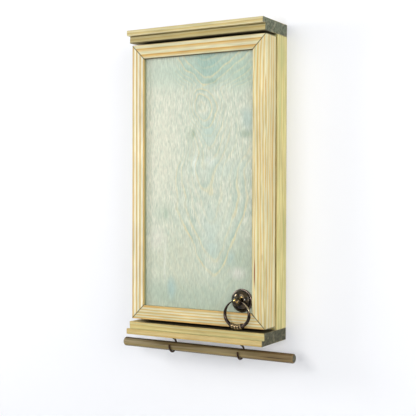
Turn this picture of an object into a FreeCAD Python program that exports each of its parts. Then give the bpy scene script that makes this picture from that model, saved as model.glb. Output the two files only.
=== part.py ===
import FreeCAD, Part
import math
import os
import re
import Sketcher

# A small wall cabinet for jewellery: a shallow case behind one deep framed door, a stepped board above
# and below, a ring pull, and a round bar in two open hooks under the lower board.
# X runs to the right, Y into the wall and Z up, in millimetres. The origin lies on the wall plane,
# midway between the two wall screws.

SIZES = {
    # case
    "case_width": 202.0,
    "case_height": 370.9,
    "case_depth": 28.0,
    "hang_drop": 22.0,          # from the top board's underside down to the wall screws
    "side_thick": 12.0,
    "back_thick": 4.0,
    "back_rebate": 6.0,
    "panel_play": 0.3,          # play of a thin panel in its rebate, each side
    # stepped boards
    "board_thick": 16.0,
    "nosing_thick": 7.2,
    "nosing_reach": 11.1,       # how far the nosing stands ahead of the door
    "step_reach": 4.2,          # how far the stepped-back band stands ahead of the door
    "board_round": 0.9,
    # joints of the case
    "dowel_radius": 3.0,
    "dowel_length": 24.0,
    "dowel_inset": 7.0,
    "glue_play": 0.05,          # radial play of a dowel, nail, screw or rod in its hole
    "hole_spare": 0.5,          # extra depth of a blind hole
    "nail_radius": 0.6,
    "nail_length": 13.0,
    "nail_head_radius": 1.3,
    "nail_head_thick": 0.6,
    "nail_end_inset": 25.0,
    # inside of the case
    "rail_thick": 10.0,
    "rail_rise": 12.0,          # hanging rail above the wall screws
    "rail_fall": 26.0,          # hanging rail below the wall screws
    "wall_screw_spacing": 128.0,
    "wall_hole_radius": 2.25,
    "peg_drop": 17.0,           # necklace hooks below the wall screws
    "peg_spacing": 27.0,
    "peg_reach": 10.5,
    "peg_rise": 6.0,
    "peg_bend": 1.8,
    "peg_radius": 0.9,
    "peg_sunk": 6.0,
    "earring_rod_radius": 1.5,
    "earring_rod_sunk": 4.0,
    "earring_rod_stand": 16.0,  # rod axis ahead of the wall plane
    "earring_rod_drop": 104.0,  # first rod below the wall screws
    "earring_rod_spacing": 62.0,
    "shelf_rise": 44.0,         # shelf's underside above the bottom board
    "shelf_thick": 6.0,
    "shelf_sunk": 3.0,
    "shelf_lip_thick": 3.0,
    "shelf_lip_rise": 8.0,
    # door
    "door_side_inset": 1.0,     # door's edge inside the case's side face
    "door_thick": 27.3,
    "door_gap": 2.0,            # between the case and the closed door
    "door_top_gap": 2.6,
    "door_bottom_gap": 3.7,
    "frame_face": 18.6,
    "frame_lip": 6.1,
    "frame_rebate": 6.0,
    "frame_round": 0.7,
    "panel_thick": 4.0,
    "bead_width": 5.0,
    "bead_depth": 6.0,
    # butt hinges
    "hinge_length": 30.0,
    "hinge_inset": 62.0,        # from the door's end to the hinge's middle
    "hinge_out": 2.3,           # pin axis outside the case's side
    "hinge_pin_radius": 1.1,
    "hinge_pin_play": 0.05,
    "hinge_head_radius": 1.7,
    "hinge_head_thick": 0.8,
    "knuckle_radius": 1.9,
    "knuckle_play": 0.3,
    "leaf_thick": 0.8,
    "leaf_width": 12.9,
    "leaf_screw_offset": 9.0,
    "screw_radius": 1.1,
    "screw_head_radius": 1.9,
    "screw_length": 8.0,
    "screw_tip": 2.0,
    "screw_slot_width": 0.5,
    "screw_slot_depth": 0.35,
    # magnetic catch
    "catch_rise": 90.0,         # above the door's lower edge
    "catch_radius": 4.0,
    "catch_sunk": 4.0,
    "catch_proud": 0.9,
    "catch_wall": 0.9,
    "strike_radius": 4.5,
    "strike_thick": 0.8,
    # ring pull
    "rosette_radius": 14.8,
    "rosette_side_gap": 1.9,
    "rosette_foot_gap": 0.2,
    "rosette_edge": 0.9,
    "rosette_rim": 2.1,
    "rosette_rim_width": 1.3,
    "dome_radius": 13.1,
    "dome_foot": 1.2,
    "dome_shoulder": 5.4,
    "dome_height": 8.0,
    "dome_side_lean": 1.3,      # how far the dome's shoulder lies inside its foot
    "dome_side_radius": 4.3,
    "dome_crown_radius": 12.7,
    "dome_flat_radius": 4.1,
    "ball_radius": 5.6,
    "ball_stand": 13.8,         # ball's centre ahead of the panel
    "neck_radius": 3.1,
    "post_radius": 1.95,
    "washer_radius": 4.5,
    "washer_thick": 0.8,
    "nut_radius": 4.0,
    "nut_thick": 3.2,
    "post_spare": 1.2,          # thread past the nut
    "ring_half_width": 17.0,
    "ring_low_height": 14.9,    # from the ring's widest place down to its foot
    "ring_high_height": 17.6,   # from there up, to where its two arms would meet
    "ring_pin_radius": 0.8,
    "ring_pin_play": 0.05,
    "ring_eye": 0.3,            # ring clear of the ball at each side
    "ring_full_radius": 2.75,
    "collar_radius": 3.45,
    "collar_length": 3.5,
    "collar_round": 1.4,
    "collar_step": 13.0,        # degrees from one bead of the collar to the next
    "flare_radius": 3.2,
    "flare_length": 1.6,
    "flare_step": 29.5,         # degrees from the ring's foot to the flare
    # bar and its hooks
    "bar_radius": 6.0,
    "bar_length": 257.0,
    "bar_stand": 32.7,          # bar's axis ahead of the wall plane
    "bar_drop": 16.9,           # bar's axis below the lower board
    "bar_round": 2.2,
    "hook_left": 50.6,
    "hook_right": 52.8,
    "hook_wire_radius": 1.25,
    "hook_loop_radius": 8.75,
    "hook_neck_radius": 3.0,
    "hook_seat_play": 0.3,
    "hook_sunk": 12.0,
    "hook_tip_angle": 278.0,    # degrees round the loop, from its top over its back
}

# Places that follow from the sizes. One side of the cabinet mirrors the other.
PLACES = {
    "case_half": "case_width / 2",
    "case_front": "0 - case_depth",
    "case_top": "hang_drop",
    "case_bottom": "hang_drop - case_height",
    "case_inner": "case_half - side_thick",
    "back_front": "0 - back_thick",
    "nail_line": "case_inner + back_rebate / 2",
    "board_top": "case_top + board_thick",
    "board_bottom": "case_bottom - board_thick",
    "door_half": "case_half - door_side_inset",
    "door_back": "case_front - door_gap",
    "door_front": "door_back - door_thick",
    "door_top": "case_top - door_top_gap",
    "door_bottom": "case_bottom + door_bottom_gap",
    "nosing_front": "door_front - nosing_reach",
    "step_front": "door_front - step_reach",
    "dowel_line": "case_half - side_thick / 2",
    "dowel_front": "case_front + dowel_inset",
    "dowel_rear": "back_front - dowel_inset",
    "rail_front": "back_front - rail_thick",
    "rail_foot": "0 - rail_fall",
    "peg_line": "0 - peg_drop",
    "earring_line": "0 - earring_rod_stand",
    "shelf_foot": "case_bottom + shelf_rise",
    "shelf_top": "shelf_foot + shelf_thick",
    "shelf_front": "case_front + shelf_lip_thick",
    "panel_face": "door_front + frame_lip",
    "panel_back": "panel_face + panel_thick",
    "bead_back": "panel_back + bead_depth",
    "rebate_face": "frame_face - frame_rebate",
    "hinge_x": "0 - case_half - hinge_out",
    "hinge_y": "(case_front + door_back) / 2",
    "hinge_upper": "door_top - hinge_inset",
    "hinge_lower": "door_bottom + hinge_inset",
    "screw_line": "dowel_line",
    "case_leaf_face": "case_front - leaf_thick",
    "door_leaf_face": "door_back + leaf_thick",
    "catch_height": "door_bottom + catch_rise",
    "catch_face": "case_front - catch_proud",
    "strike_face": "door_back + strike_thick",
    "pull_x": "door_half - frame_face - rosette_side_gap - rosette_radius",
    "pull_z": "door_bottom + frame_face + rosette_foot_gap + rosette_radius",
    "ball_y": "panel_face - ball_stand",
    "dome_front": "panel_face - dome_height",
    "washer_back": "panel_back + washer_thick",
    "nut_back": "washer_back + nut_thick",
    "post_end": "nut_back + post_spare",
    "ring_reach": "ball_radius + ring_eye",
    "bar_y": "0 - bar_stand",
    "bar_z": "case_bottom - board_thick - bar_drop",
    "hook_z": "bar_z + hook_loop_radius - hook_wire_radius - bar_radius - hook_seat_play",
}

NECKLACE_HOOKS = 6
EARRING_RODS = ("upper", "middle", "lower")
NAILS_PER_SIDE = 5
RING_SECTIONS = 25      # round sections that the ring is lofted through
RING_TAPER = 1.8        # how long the ring keeps its full thickness before it thins
BEAD_ROUNDING = 0.42    # largest rounding of a bead, as a share of its length
NEAR = 1e-3

doc = FreeCAD.newDocument("JewelleryCabinet")
sheet = doc.addObject("Spreadsheet::Sheet", "Sizes")
for row, (word, number) in enumerate(SIZES.items(), start=1):
    sheet.set("A%d" % row, word)
    sheet.set("B%d" % row, str(number))
    sheet.setAlias("B%d" % row, word)
doc.recompute()
probe = doc.addObject("App::FeaturePython", "Probe")

nodes = {}


def expand(text):
    """Turns a formula in plain names into one that refers to the sheet."""
    def swap(match):
        word = match.group()
        if word in PLACES:
            return "(" + expand(PLACES[word]) + ")"
        return "Sizes." + word if word in SIZES else word
    return re.sub(r"[a-z][a-z_]*", swap, text)


def value(text):
    """The number that a formula gives now."""
    return float(probe.evalExpression(expand(text)))


def vector(x, y, z="0"):
    return FreeCAD.Vector(value(x), value(y), value(z))


def keep(label, piece):
    """Names a finished piece as a node of its own."""
    piece.Label = label
    nodes[label] = piece
    return piece


# Bodies, sketches and features

def new_body(label):
    return keep(label, doc.addObject("PartDesign::Body", "Body_" + label))


def new_sketch(body, plane, lift="0", shift="0"):
    """A sketch on one of the body's own planes, lifted along its normal: +Z on XY, -Y on XZ, +X on YZ."""
    sketch = body.newObject("Sketcher::SketchObject", "Sketch")
    support = [item for item in body.Origin.OriginFeatures if item.Role == plane][0]
    sketch.AttachmentSupport = [(support, "")]
    sketch.MapMode = "FlatFace"
    sketch.setExpression("AttachmentOffset.Base.x", expand(shift))
    sketch.setExpression("AttachmentOffset.Base.z", expand(lift))
    return sketch


def pin_point(sketch, shape, point, spot):
    """Ties one point of a sketch to two formulas."""
    for kind, text in zip(("DistanceX", "DistanceY"), spot):
        index = sketch.addConstraint(Sketcher.Constraint(kind, shape, point, value(text)))
        sketch.setExpression("Constraints[%d]" % index, expand(text))


def arc_between(start, end, radius, side):
    """An arc from start to end with its centre to the left (1) or right (-1) of the way there."""
    chord = end - start
    middle = (start + end) * 0.5
    across = FreeCAD.Vector(-chord.y, chord.x, 0) * (side / chord.Length)
    centre = middle + across * math.sqrt(radius ** 2 - (chord.Length / 2) ** 2)
    bulge = centre - across * radius
    # A sketch's arcs run counterclockwise, so one that turns the other way is laid from its end.
    return Part.Arc(start, bulge, end) if side > 0 else Part.Arc(end, bulge, start)


def draw_outline(sketch, corners, bows=None):
    """A closed outline. bows gives the edges that are arcs, by number: (radius, side)."""
    bows = bows or {}
    spots = [vector(*corner) for corner in corners]
    count = len(corners)
    ends = []
    for number in range(count):
        start, end = spots[number], spots[(number + 1) % count]
        if number in bows:
            radius, side = bows[number]
            shape = sketch.addGeometry(arc_between(start, end, value(radius), side))
            ends.append((shape, 1, 2) if side > 0 else (shape, 2, 1))
            index = sketch.addConstraint(Sketcher.Constraint("Radius", shape, value(radius)))
            sketch.setExpression("Constraints[%d]" % index, expand(radius))
        else:
            ends.append((sketch.addGeometry(Part.LineSegment(start, end)), 1, 2))
    for number in range(count):
        shape, first, last = ends[number]
        following, join, _ = ends[(number + 1) % count]
        sketch.addConstraint(Sketcher.Constraint("Coincident", shape, last, following, join))
        pin_point(sketch, shape, first, corners[number])


def draw_box(sketch, low, high):
    draw_outline(sketch, [low, (high[0], low[1]), high, (low[0], high[1])])


def draw_circle(sketch, spot, radius):
    circle = Part.Circle(vector(*spot), FreeCAD.Vector(0, 0, 1), value(radius))
    shape = sketch.addGeometry(circle)
    pin_point(sketch, shape, 3, spot)
    index = sketch.addConstraint(Sketcher.Constraint("Radius", shape, value(radius)))
    sketch.setExpression("Constraints[%d]" % index, expand(radius))


def add_feature(body, kind, sketch, length, turned):
    feature = body.newObject("PartDesign::" + kind, kind)
    feature.Profile = sketch
    feature.Reversed = turned
    feature.setExpression("Length", expand(length))
    sketch.Visibility = False
    return feature


def pad(body, sketch, length, turned=False):
    """Grows a sketch along its plane's normal, or against it if turned."""
    return add_feature(body, "Pad", sketch, length, turned)


def pocket(body, sketch, length, along=False):
    """Cuts a sketch against its plane's normal, or along it."""
    return add_feature(body, "Pocket", sketch, length, along)


def drill(body, plane, lift, spots, radius, depth, along=False):
    """Round holes of one size from one plane."""
    sketch = new_sketch(body, plane, lift)
    for spot in spots:
        draw_circle(sketch, spot, radius)
    return pocket(body, sketch, depth, along)


def revolve(body, sketch):
    feature = body.newObject("PartDesign::Revolution", "Revolution")
    feature.Profile = sketch
    feature.ReferenceAxis = (sketch, ["V_Axis"])
    feature.Angle = 360
    return feature


def round_edges(body, radius, chosen):
    """Rounds the edges for which chosen(middle, direction) is true."""
    doc.recompute()
    base = body.Tip
    names = []
    for number, edge in enumerate(base.Shape.Edges, start=1):
        span = edge.Vertexes[-1].Point - edge.Vertexes[0].Point
        direction = span.normalize() if span.Length > 1e-6 else FreeCAD.Vector()
        if chosen(edge.BoundBox.Center, direction):
            names.append("Edge%d" % number)
    fillet = body.newObject("PartDesign::Fillet", "Fillet")
    fillet.Base = (base, names)
    fillet.setExpression("Radius", expand(radius))
    return fillet


# Primitives and booleans

TURNS = {
    "+Z": FreeCAD.Rotation(),
    "+Y": FreeCAD.Rotation(FreeCAD.Vector(1, 0, 0), -90),
    "-Y": FreeCAD.Rotation(FreeCAD.Vector(1, 0, 0), 90),
    "+X": FreeCAD.Rotation(FreeCAD.Vector(0, 1, 0), 90),
}


def primitive(kind, name, spot, toward, sizes):
    solid = doc.addObject("Part::" + kind, name)
    solid.Placement = FreeCAD.Placement(FreeCAD.Vector(), TURNS[toward])
    for axis, text in zip("xyz", spot):
        solid.setExpression("Placement.Base." + axis, expand(text))
    for size, text in sizes.items():
        solid.setExpression(size, expand(text))
    return solid


def box(name, low, high):
    spans = {size: "(%s) - (%s)" % (top, bottom)
             for size, bottom, top in zip(("Length", "Width", "Height"), low, high)}
    return primitive("Box", name, low, "+Z", spans)


def cylinder(name, spot, toward, radius, length):
    return primitive("Cylinder", name, spot, toward, {"Radius": radius, "Height": length})


def cone(name, spot, toward, first, second, length):
    sizes = {"Radius1": first, "Radius2": second, "Height": length}
    return primitive("Cone", name, spot, toward, sizes)


def fuse(name, pieces):
    joined = doc.addObject("Part::MultiFuse", name)
    joined.Shapes = pieces
    return joined


def cut(name, base, tools):
    tool = tools[0] if len(tools) == 1 else fuse(name + "_tools", tools)
    rest = doc.addObject("Part::Cut", name)
    rest.Base = base
    rest.Tool = tool
    return rest


def group(label, pieces):
    """Like pieces that share one node as separate solids."""
    together = doc.addObject("Part::Compound", "Group_" + label)
    together.Links = pieces
    return keep(label, together)


def solid_feature(label, shape):
    return keep(label, make_solid("Solid_" + label, shape))


def make_solid(name, shape):
    feature = doc.addObject("Part::Feature", name)
    feature.Shape = shape
    return feature


def bent_wire(edges, radius):
    """A round wire along a path in a plane square to X, with a ball at its far end."""
    path = Part.Wire(edges)
    start = path.OrderedVertexes[0].Point
    heading = edges[0].tangentAt(edges[0].FirstParameter)
    profile = Part.Wire([Part.makeCircle(radius, start, heading)])
    tube = path.makePipeShell([profile], True, False)
    end = path.OrderedVertexes[-1].Point
    return tube.fuse(Part.makeSphere(radius, end)).removeSplitter()


# Case

def stepped_board(label, joint, outward):
    """The moulding above or below the case: its nosing is on the side away from the door."""
    step = "%s %s (board_thick - nosing_thick)" % (joint, outward)
    outer = "%s %s board_thick" % (joint, outward)
    body = new_body(label)
    sketch = new_sketch(body, "YZ_Plane", "0 - case_half")
    draw_outline(sketch, [
        ("0", joint), ("step_front", joint), ("step_front", step),
        ("nosing_front", step), ("nosing_front", outer), ("0", outer)])
    pad(body, sketch, "case_width")
    front = value("step_front")
    corner = value(step)
    round_edges(body, "board_round", lambda middle, way: (
        abs(way.x) > 0.99 and middle.y < front + NEAR
        and not (abs(middle.y - front) < NEAR and abs(middle.z - corner) < NEAR)))
    drill(body, "XY_Plane", joint, dowel_spots(), "dowel_radius + glue_play",
          "dowel_length / 2 + hole_spare", along=outward == "+")
    return body


def dowel_spots():
    return [(side + "dowel_line", y) for side in ("0 - ", "") for y in ("dowel_front", "dowel_rear")]


def nail_heights():
    span = "(case_height - 2 * nail_end_inset) / %d" % (NAILS_PER_SIDE - 1)
    return ["case_bottom + nail_end_inset + %d * %s" % (number, span) for number in range(NAILS_PER_SIDE)]


def earring_heights():
    return ["0 - earring_rod_drop - %d * earring_rod_spacing" % number for number in range(len(EARRING_RODS))]


def hinge_screw_heights():
    return ["%s %s leaf_screw_offset" % (middle, sign) for middle in ("hinge_upper", "hinge_lower") for sign in "+-"]


def case_side(label, side):
    """One side of the case, rebated for the back and grooved for the shelf."""
    right = side == ""
    body = new_body(label)
    sketch = new_sketch(body, "XY_Plane", "case_bottom")
    inner = side + "case_inner"
    rebate = side + "(case_inner + back_rebate)"
    draw_outline(sketch, [
        (side + "case_half", "0"), (side + "case_half", "case_front"), (inner, "case_front"),
        (inner, "back_front"), (rebate, "back_front"), (rebate, "0")])
    pad(body, sketch, "case_height")
    dowels = [(side + "dowel_line", y) for y in ("dowel_front", "dowel_rear")]
    depth = "dowel_length / 2 + hole_spare"
    drill(body, "XY_Plane", "case_bottom", dowels, "dowel_radius + glue_play", depth, along=True)
    drill(body, "XY_Plane", "case_top", dowels, "dowel_radius + glue_play", depth)
    rods = [("earring_line", height) for height in earring_heights()]
    drill(body, "YZ_Plane", inner, rods, "earring_rod_radius + glue_play", "earring_rod_sunk", along=right)
    groove = new_sketch(body, "YZ_Plane", inner)
    draw_box(groove, ("shelf_front", "shelf_foot"), ("back_front", "shelf_top"))
    pocket(body, groove, "shelf_sunk", along=right)
    nails = [(side + "nail_line", height) for height in nail_heights()]
    drill(body, "XZ_Plane", "back_thick", nails, "nail_radius + glue_play",
          "nail_length - back_thick + hole_spare", along=True)
    if right:
        drill(body, "XZ_Plane", "case_depth", [("dowel_line", "catch_height")],
              "catch_radius + glue_play", "catch_sunk")
    else:
        screws = [("0 - screw_line", height) for height in hinge_screw_heights()]
        drill(body, "XZ_Plane", "case_depth", screws, "screw_radius + glue_play",
              "screw_length + screw_tip + hole_spare")
    return body


def make_back_panel():
    body = new_body("back_panel")
    edge = "case_inner + back_rebate - panel_play"
    sketch = new_sketch(body, "XZ_Plane")
    draw_box(sketch, ("0 - (%s)" % edge, "case_bottom"), (edge, "case_top"))
    pad(body, sketch, "back_thick")
    nails = [(side + "nail_line", height) for side in ("0 - ", "") for height in nail_heights()]
    drill(body, "XZ_Plane", "0", nails, "nail_radius + glue_play", "back_thick", along=True)
    drill(body, "XZ_Plane", "0", nails, "nail_head_radius + glue_play", "nail_head_thick", along=True)
    drill(body, "XZ_Plane", "0", wall_screw_spots(), "wall_hole_radius", "back_thick", along=True)


def wall_screw_spots():
    return [(side + "wall_screw_spacing / 2", "0") for side in ("0 - ", "")]


def peg_places():
    return ["(%d - %.1f) * peg_spacing" % (number, (NECKLACE_HOOKS - 1) / 2) for number in range(NECKLACE_HOOKS)]


def make_hanging_rail():
    body = new_body("hanging_rail")
    sketch = new_sketch(body, "XZ_Plane", "back_thick")
    draw_box(sketch, ("0 - case_inner", "rail_foot"), ("case_inner", "rail_rise"))
    pad(body, sketch, "rail_thick")
    front = value("rail_front")
    round_edges(body, "board_round", lambda middle, way: abs(way.x) > 0.99 and abs(middle.y - front) < NEAR)
    drill(body, "XZ_Plane", "back_thick", wall_screw_spots(), "wall_hole_radius", "rail_thick", along=True)
    pegs = [(x, "peg_line") for x in peg_places()]
    drill(body, "XZ_Plane", "back_thick + rail_thick", pegs, "peg_radius + glue_play", "peg_sunk + hole_spare")


def make_case_joints():
    dowels = []
    for joint in ("case_top", "case_bottom"):
        for x, y in dowel_spots():
            start = (x, y, joint + " - dowel_length / 2")
            dowels.append(cylinder("Dowel", start, "+Z", "dowel_radius", "dowel_length"))
    group("joint_dowels", dowels)
    nails = []
    for side in ("0 - ", ""):
        for height in nail_heights():
            x = side + "nail_line"
            head = cylinder("NailHead", (x, "0", height), "-Y", "nail_head_radius", "nail_head_thick")
            shank = cylinder("NailShank", (x, "0", height), "-Y", "nail_radius", "nail_length")
            nails.append(fuse("Nail", [head, shank]))
    group("back_panel_pins", nails)


def make_necklace_hooks():
    """Six square-bend hooks: each runs out of the rail and turns up."""
    height = value("peg_line")
    root = value("rail_front + peg_sunk")
    bend = value("peg_bend")
    far = value("rail_front - peg_reach")
    tip = height + value("peg_rise")
    hooks = []
    for place in peg_places():
        x = value(place)
        turn_start = FreeCAD.Vector(x, far + bend, height)
        turn_end = FreeCAD.Vector(x, far, height + bend)
        slant = bend * (1 - math.sqrt(0.5))
        knee = FreeCAD.Vector(x, far + slant, height + slant)
        edges = [
            Part.makeLine(FreeCAD.Vector(x, root, height), turn_start),
            Part.Arc(turn_start, knee, turn_end).toShape(),
            Part.makeLine(turn_end, FreeCAD.Vector(x, far, tip))]
        hooks.append(make_solid("NecklaceHook", bent_wire(edges, value("peg_radius"))))
    group("necklace_hooks", hooks)


def make_earring_rods():
    for name, height in zip(EARRING_RODS, earring_heights()):
        start = ("0 - case_inner - earring_rod_sunk + hole_spare", "earring_line", height)
        length = "2 * (case_inner + earring_rod_sunk - hole_spare)"
        keep("earring_rod_" + name, cylinder("EarringRod", start, "+X", "earring_rod_radius", length))


def make_ring_shelf():
    low = ("0 - case_inner - shelf_sunk", "shelf_front", "shelf_foot")
    keep("ring_shelf", box("Shelf", low, ("case_inner + shelf_sunk", "back_front", "shelf_top")))
    low = ("0 - case_inner", "case_front", "shelf_foot")
    keep("shelf_lip", box("ShelfLip", low, ("case_inner", "shelf_front", "shelf_top + shelf_lip_rise")))


# Door

def frame_member(label, corners, rebate, rounded):
    """A mitred member: its face outline is padded forward from the back, then rebated."""
    body = new_body(label)
    sketch = new_sketch(body, "XZ_Plane", "0 - door_back")
    draw_outline(sketch, corners)
    pad(body, sketch, "door_thick")
    recess = new_sketch(body, "XZ_Plane", "0 - panel_face")
    draw_box(recess, *rebate)
    pocket(body, recess, "door_thick - frame_lip")
    front = value("door_front")
    round_edges(body, "frame_round", lambda middle, way: (
        abs(middle.y - front) < NEAR and abs(getattr(way, rounded)) > 0.99))
    return body


def make_frame():
    inner = "(door_half - frame_face)"
    cut_x = "(door_half - rebate_face)"
    for name, side in (("left", "0 - "), ("right", "")):
        body = frame_member(
            "door_stile_" + name,
            [(side + "door_half", "door_bottom"), (side + "door_half", "door_top"),
             (side + inner, "door_top - frame_face"), (side + inner, "door_bottom + frame_face")],
            ((side + inner, "door_bottom"), (side + cut_x, "door_top")), "z")
        if name == "left":
            screws = [("0 - screw_line", height) for height in hinge_screw_heights()]
            drill(body, "XZ_Plane", "0 - door_back", screws, "screw_radius + glue_play",
                  "screw_length + screw_tip + hole_spare", along=True)
        else:
            drill(body, "XZ_Plane", "0 - door_back", [("dowel_line", "catch_height")],
                  "screw_radius + glue_play", "screw_length + screw_tip + hole_spare", along=True)
    for name, edge, inward in (("top", "door_top", "-"), ("bottom", "door_bottom", "+")):
        inside = "%s %s frame_face" % (edge, inward)
        cut_z = "%s %s rebate_face" % (edge, inward)
        frame_member(
            "door_rail_" + name,
            [("0 - door_half", edge), ("door_half", edge), (inner, inside), ("0 - " + inner, inside)],
            (("0 - door_half", inside), ("door_half", cut_z)), "x")


def make_door_panel():
    body = new_body("door_panel")
    sketch = new_sketch(body, "XZ_Plane", "0 - panel_back")
    x = "(door_half - rebate_face - panel_play)"
    low = ("0 - " + x, "door_bottom + rebate_face + panel_play")
    draw_box(sketch, low, (x, "door_top - rebate_face - panel_play"))
    pad(body, sketch, "panel_thick")
    drill(body, "XZ_Plane", "0 - panel_back", [("pull_x", "pull_z")], "post_radius + glue_play",
          "panel_thick", along=True)


def make_beads():
    """Four strips pinned behind the panel, butted at their ends."""
    outer = "(door_half - rebate_face)"
    inner = "(door_half - rebate_face - bead_width)"
    low, high = "door_bottom + rebate_face", "door_top - rebate_face"
    spans = {
        "top": (("0 - " + outer, high + " - bead_width"), (outer, high)),
        "bottom": (("0 - " + outer, low), (outer, low + " + bead_width")),
        "left": (("0 - " + outer, low + " + bead_width"), ("0 - " + inner, high + " - bead_width")),
        "right": ((inner, low + " + bead_width"), (outer, high + " - bead_width")),
    }
    for name, ((x_low, z_low), (x_high, z_high)) in spans.items():
        bead = box("Bead", (x_low, "panel_back", z_low), (x_high, "bead_back", z_high))
        keep("panel_bead_" + name, bead)


# Hinges and catch

def wood_screw(name, x, head_face, z, toward, plate):
    """A countersunk screw whose head fills the plate it holds."""
    sign = toward[0]
    neck = "%s %s %s" % (head_face, sign, plate)
    head = cone(name + "Head", (x, head_face, z), toward, "screw_head_radius", "screw_radius", plate)
    shank = cylinder(name + "Shank", (x, neck, z), toward, "screw_radius", "screw_length")
    end = "%s %s screw_length" % (neck, sign)
    tip = cone(name + "Tip", (x, end, z), toward, "screw_radius", "0.1 * screw_radius", "screw_tip")
    half = "(%s) - screw_head_radius" % x
    depths = [head_face, "%s %s screw_slot_depth" % (head_face, sign)]
    near, far = depths if sign == "+" else depths[::-1]
    slot = box(name + "Slot", (half, near, "(%s) - screw_slot_width / 2" % z),
               ("(%s) + screw_head_radius" % x, far, "(%s) + screw_slot_width / 2" % z))
    return cut(name, fuse(name + "Blank", [head, shank, tip]), [slot])


def screw_sink(name, x, head_face, z, toward, plate):
    """The countersunk hole that such a screw needs in its plate."""
    return cone(name, (x, head_face, z), toward, "screw_head_radius + glue_play",
                "screw_radius + glue_play", plate)


def hinge_leaf(label, middle, toward, outer_face, low_face, high_face, knuckles):
    """A leaf: a plate on the wood, and its knuckles round the pin."""
    bare = "hinge_x + knuckle_radius + knuckle_play"
    ends = ("(%s) - hinge_length / 2" % middle, "(%s) + hinge_length / 2" % middle)
    pieces = [box(label + "_plate", (bare, low_face, ends[0]), ("hinge_x + leaf_width", high_face, ends[1]))]
    for number, (low, high) in enumerate(knuckles):
        name = "%s_%d" % (label, number)
        pieces.append(box(name + "_tab", ("hinge_x", low_face, low), (bare + " + leaf_thick", high_face, high)))
        length = "(%s) - (%s)" % (high, low)
        pieces.append(cylinder(name + "_eye", ("hinge_x", "hinge_y", low), "+Z", "knuckle_radius", length))
    bore = cylinder(label + "_bore", ("hinge_x", "hinge_y", ends[0]), "+Z",
                    "hinge_pin_radius + hinge_pin_play", "hinge_length")
    sinks = [screw_sink(label + "_sink", "0 - screw_line", outer_face, "%s %s leaf_screw_offset" % (middle, sign),
                        toward, "leaf_thick") for sign in "+-"]
    keep(label, cut(label + "_leaf", fuse(label + "_blank", pieces), [bore] + sinks))


def make_hinges():
    case_screws, door_screws = [], []
    for name in ("upper", "lower"):
        middle = "hinge_" + name
        third = "hinge_length / 6"
        ends = ["(%s) %s" % (middle, offset) for offset in (
            "- hinge_length / 2", "- %s - knuckle_play / 2" % third, "- %s + knuckle_play / 2" % third,
            "+ %s - knuckle_play / 2" % third, "+ %s + knuckle_play / 2" % third, "+ hinge_length / 2")]
        hinge_leaf(middle + "_case_leaf", middle, "+Y", "case_leaf_face", "case_leaf_face", "case_front",
                   [(ends[0], ends[1]), (ends[4], ends[5])])
        hinge_leaf(middle + "_door_leaf", middle, "-Y", "door_leaf_face", "door_back", "door_leaf_face",
                   [(ends[2], ends[3])])
        foot = "(%s) - hinge_length / 2 - hinge_head_thick" % middle
        top = "(%s) + hinge_length / 2" % middle
        shaft = cylinder(middle + "_shaft", ("hinge_x", "hinge_y", foot), "+Z", "hinge_pin_radius",
                         "hinge_length + 2 * hinge_head_thick")
        heads = [cylinder(middle + "_head", ("hinge_x", "hinge_y", end), "+Z", "hinge_head_radius",
                          "hinge_head_thick") for end in (foot, top)]
        keep(middle + "_pin", fuse(middle + "_pin_blank", [shaft] + heads))
    for height in hinge_screw_heights():
        case_screws.append(wood_screw("CaseScrew", "0 - screw_line", "case_leaf_face", height, "+Y", "leaf_thick"))
        door_screws.append(wood_screw("DoorScrew", "0 - screw_line", "door_leaf_face", height, "-Y", "leaf_thick"))
    group("hinge_case_screws", case_screws)
    group("hinge_door_screws", door_screws)


def make_catch():
    """A magnet in a steel cup in the case's right side, and a round strike plate on the door."""
    spot = ("dowel_line", "catch_face", "catch_height")
    depth = "catch_proud + catch_sunk"
    shell = cylinder("CupShell", spot, "+Y", "catch_radius", depth)
    well = cylinder("CupWell", spot, "+Y", "catch_radius - catch_wall", depth + " - catch_wall")
    keep("catch_cup", cut("Cup", shell, [well]))
    keep("catch_magnet", cylinder("Magnet", spot, "+Y", "catch_radius - catch_wall - glue_play",
                                  depth + " - catch_wall"))
    disc = cylinder("StrikeDisc", ("dowel_line", "door_back", "catch_height"), "+Y", "strike_radius", "strike_thick")
    sink = screw_sink("StrikeSink", "dowel_line", "strike_face", "catch_height", "-Y", "strike_thick")
    keep("strike_plate", cut("Strike", disc, [sink]))
    keep("strike_screw", wood_screw("StrikeScrew", "dowel_line", "strike_face", "catch_height", "-Y", "strike_thick"))


# Ring pull

def make_rosette():
    """A turned plate: rolled rim, groove, and a dome with a flat for the post's neck."""
    body = new_body("pull_rosette")
    sketch = new_sketch(body, "XY_Plane", "pull_z", "pull_x")
    hole = "post_radius + glue_play"
    rim = "rosette_radius - rosette_rim_width"
    draw_outline(sketch, [
        (hole, "panel_face"),
        ("rosette_radius", "panel_face"),
        ("rosette_radius", "panel_face - rosette_edge"),
        (rim, "panel_face - rosette_rim"),
        ("dome_radius", "panel_face - dome_foot"),
        ("dome_radius - dome_side_lean", "panel_face - dome_shoulder"),
        ("dome_flat_radius", "dome_front"),
        (hole, "dome_front")],
        bows={2: ("(rosette_rim_width + rosette_rim - rosette_edge) / 2", -1),
              4: ("dome_side_radius", -1), 5: ("dome_crown_radius", -1)})
    revolve(body, sketch)


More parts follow.
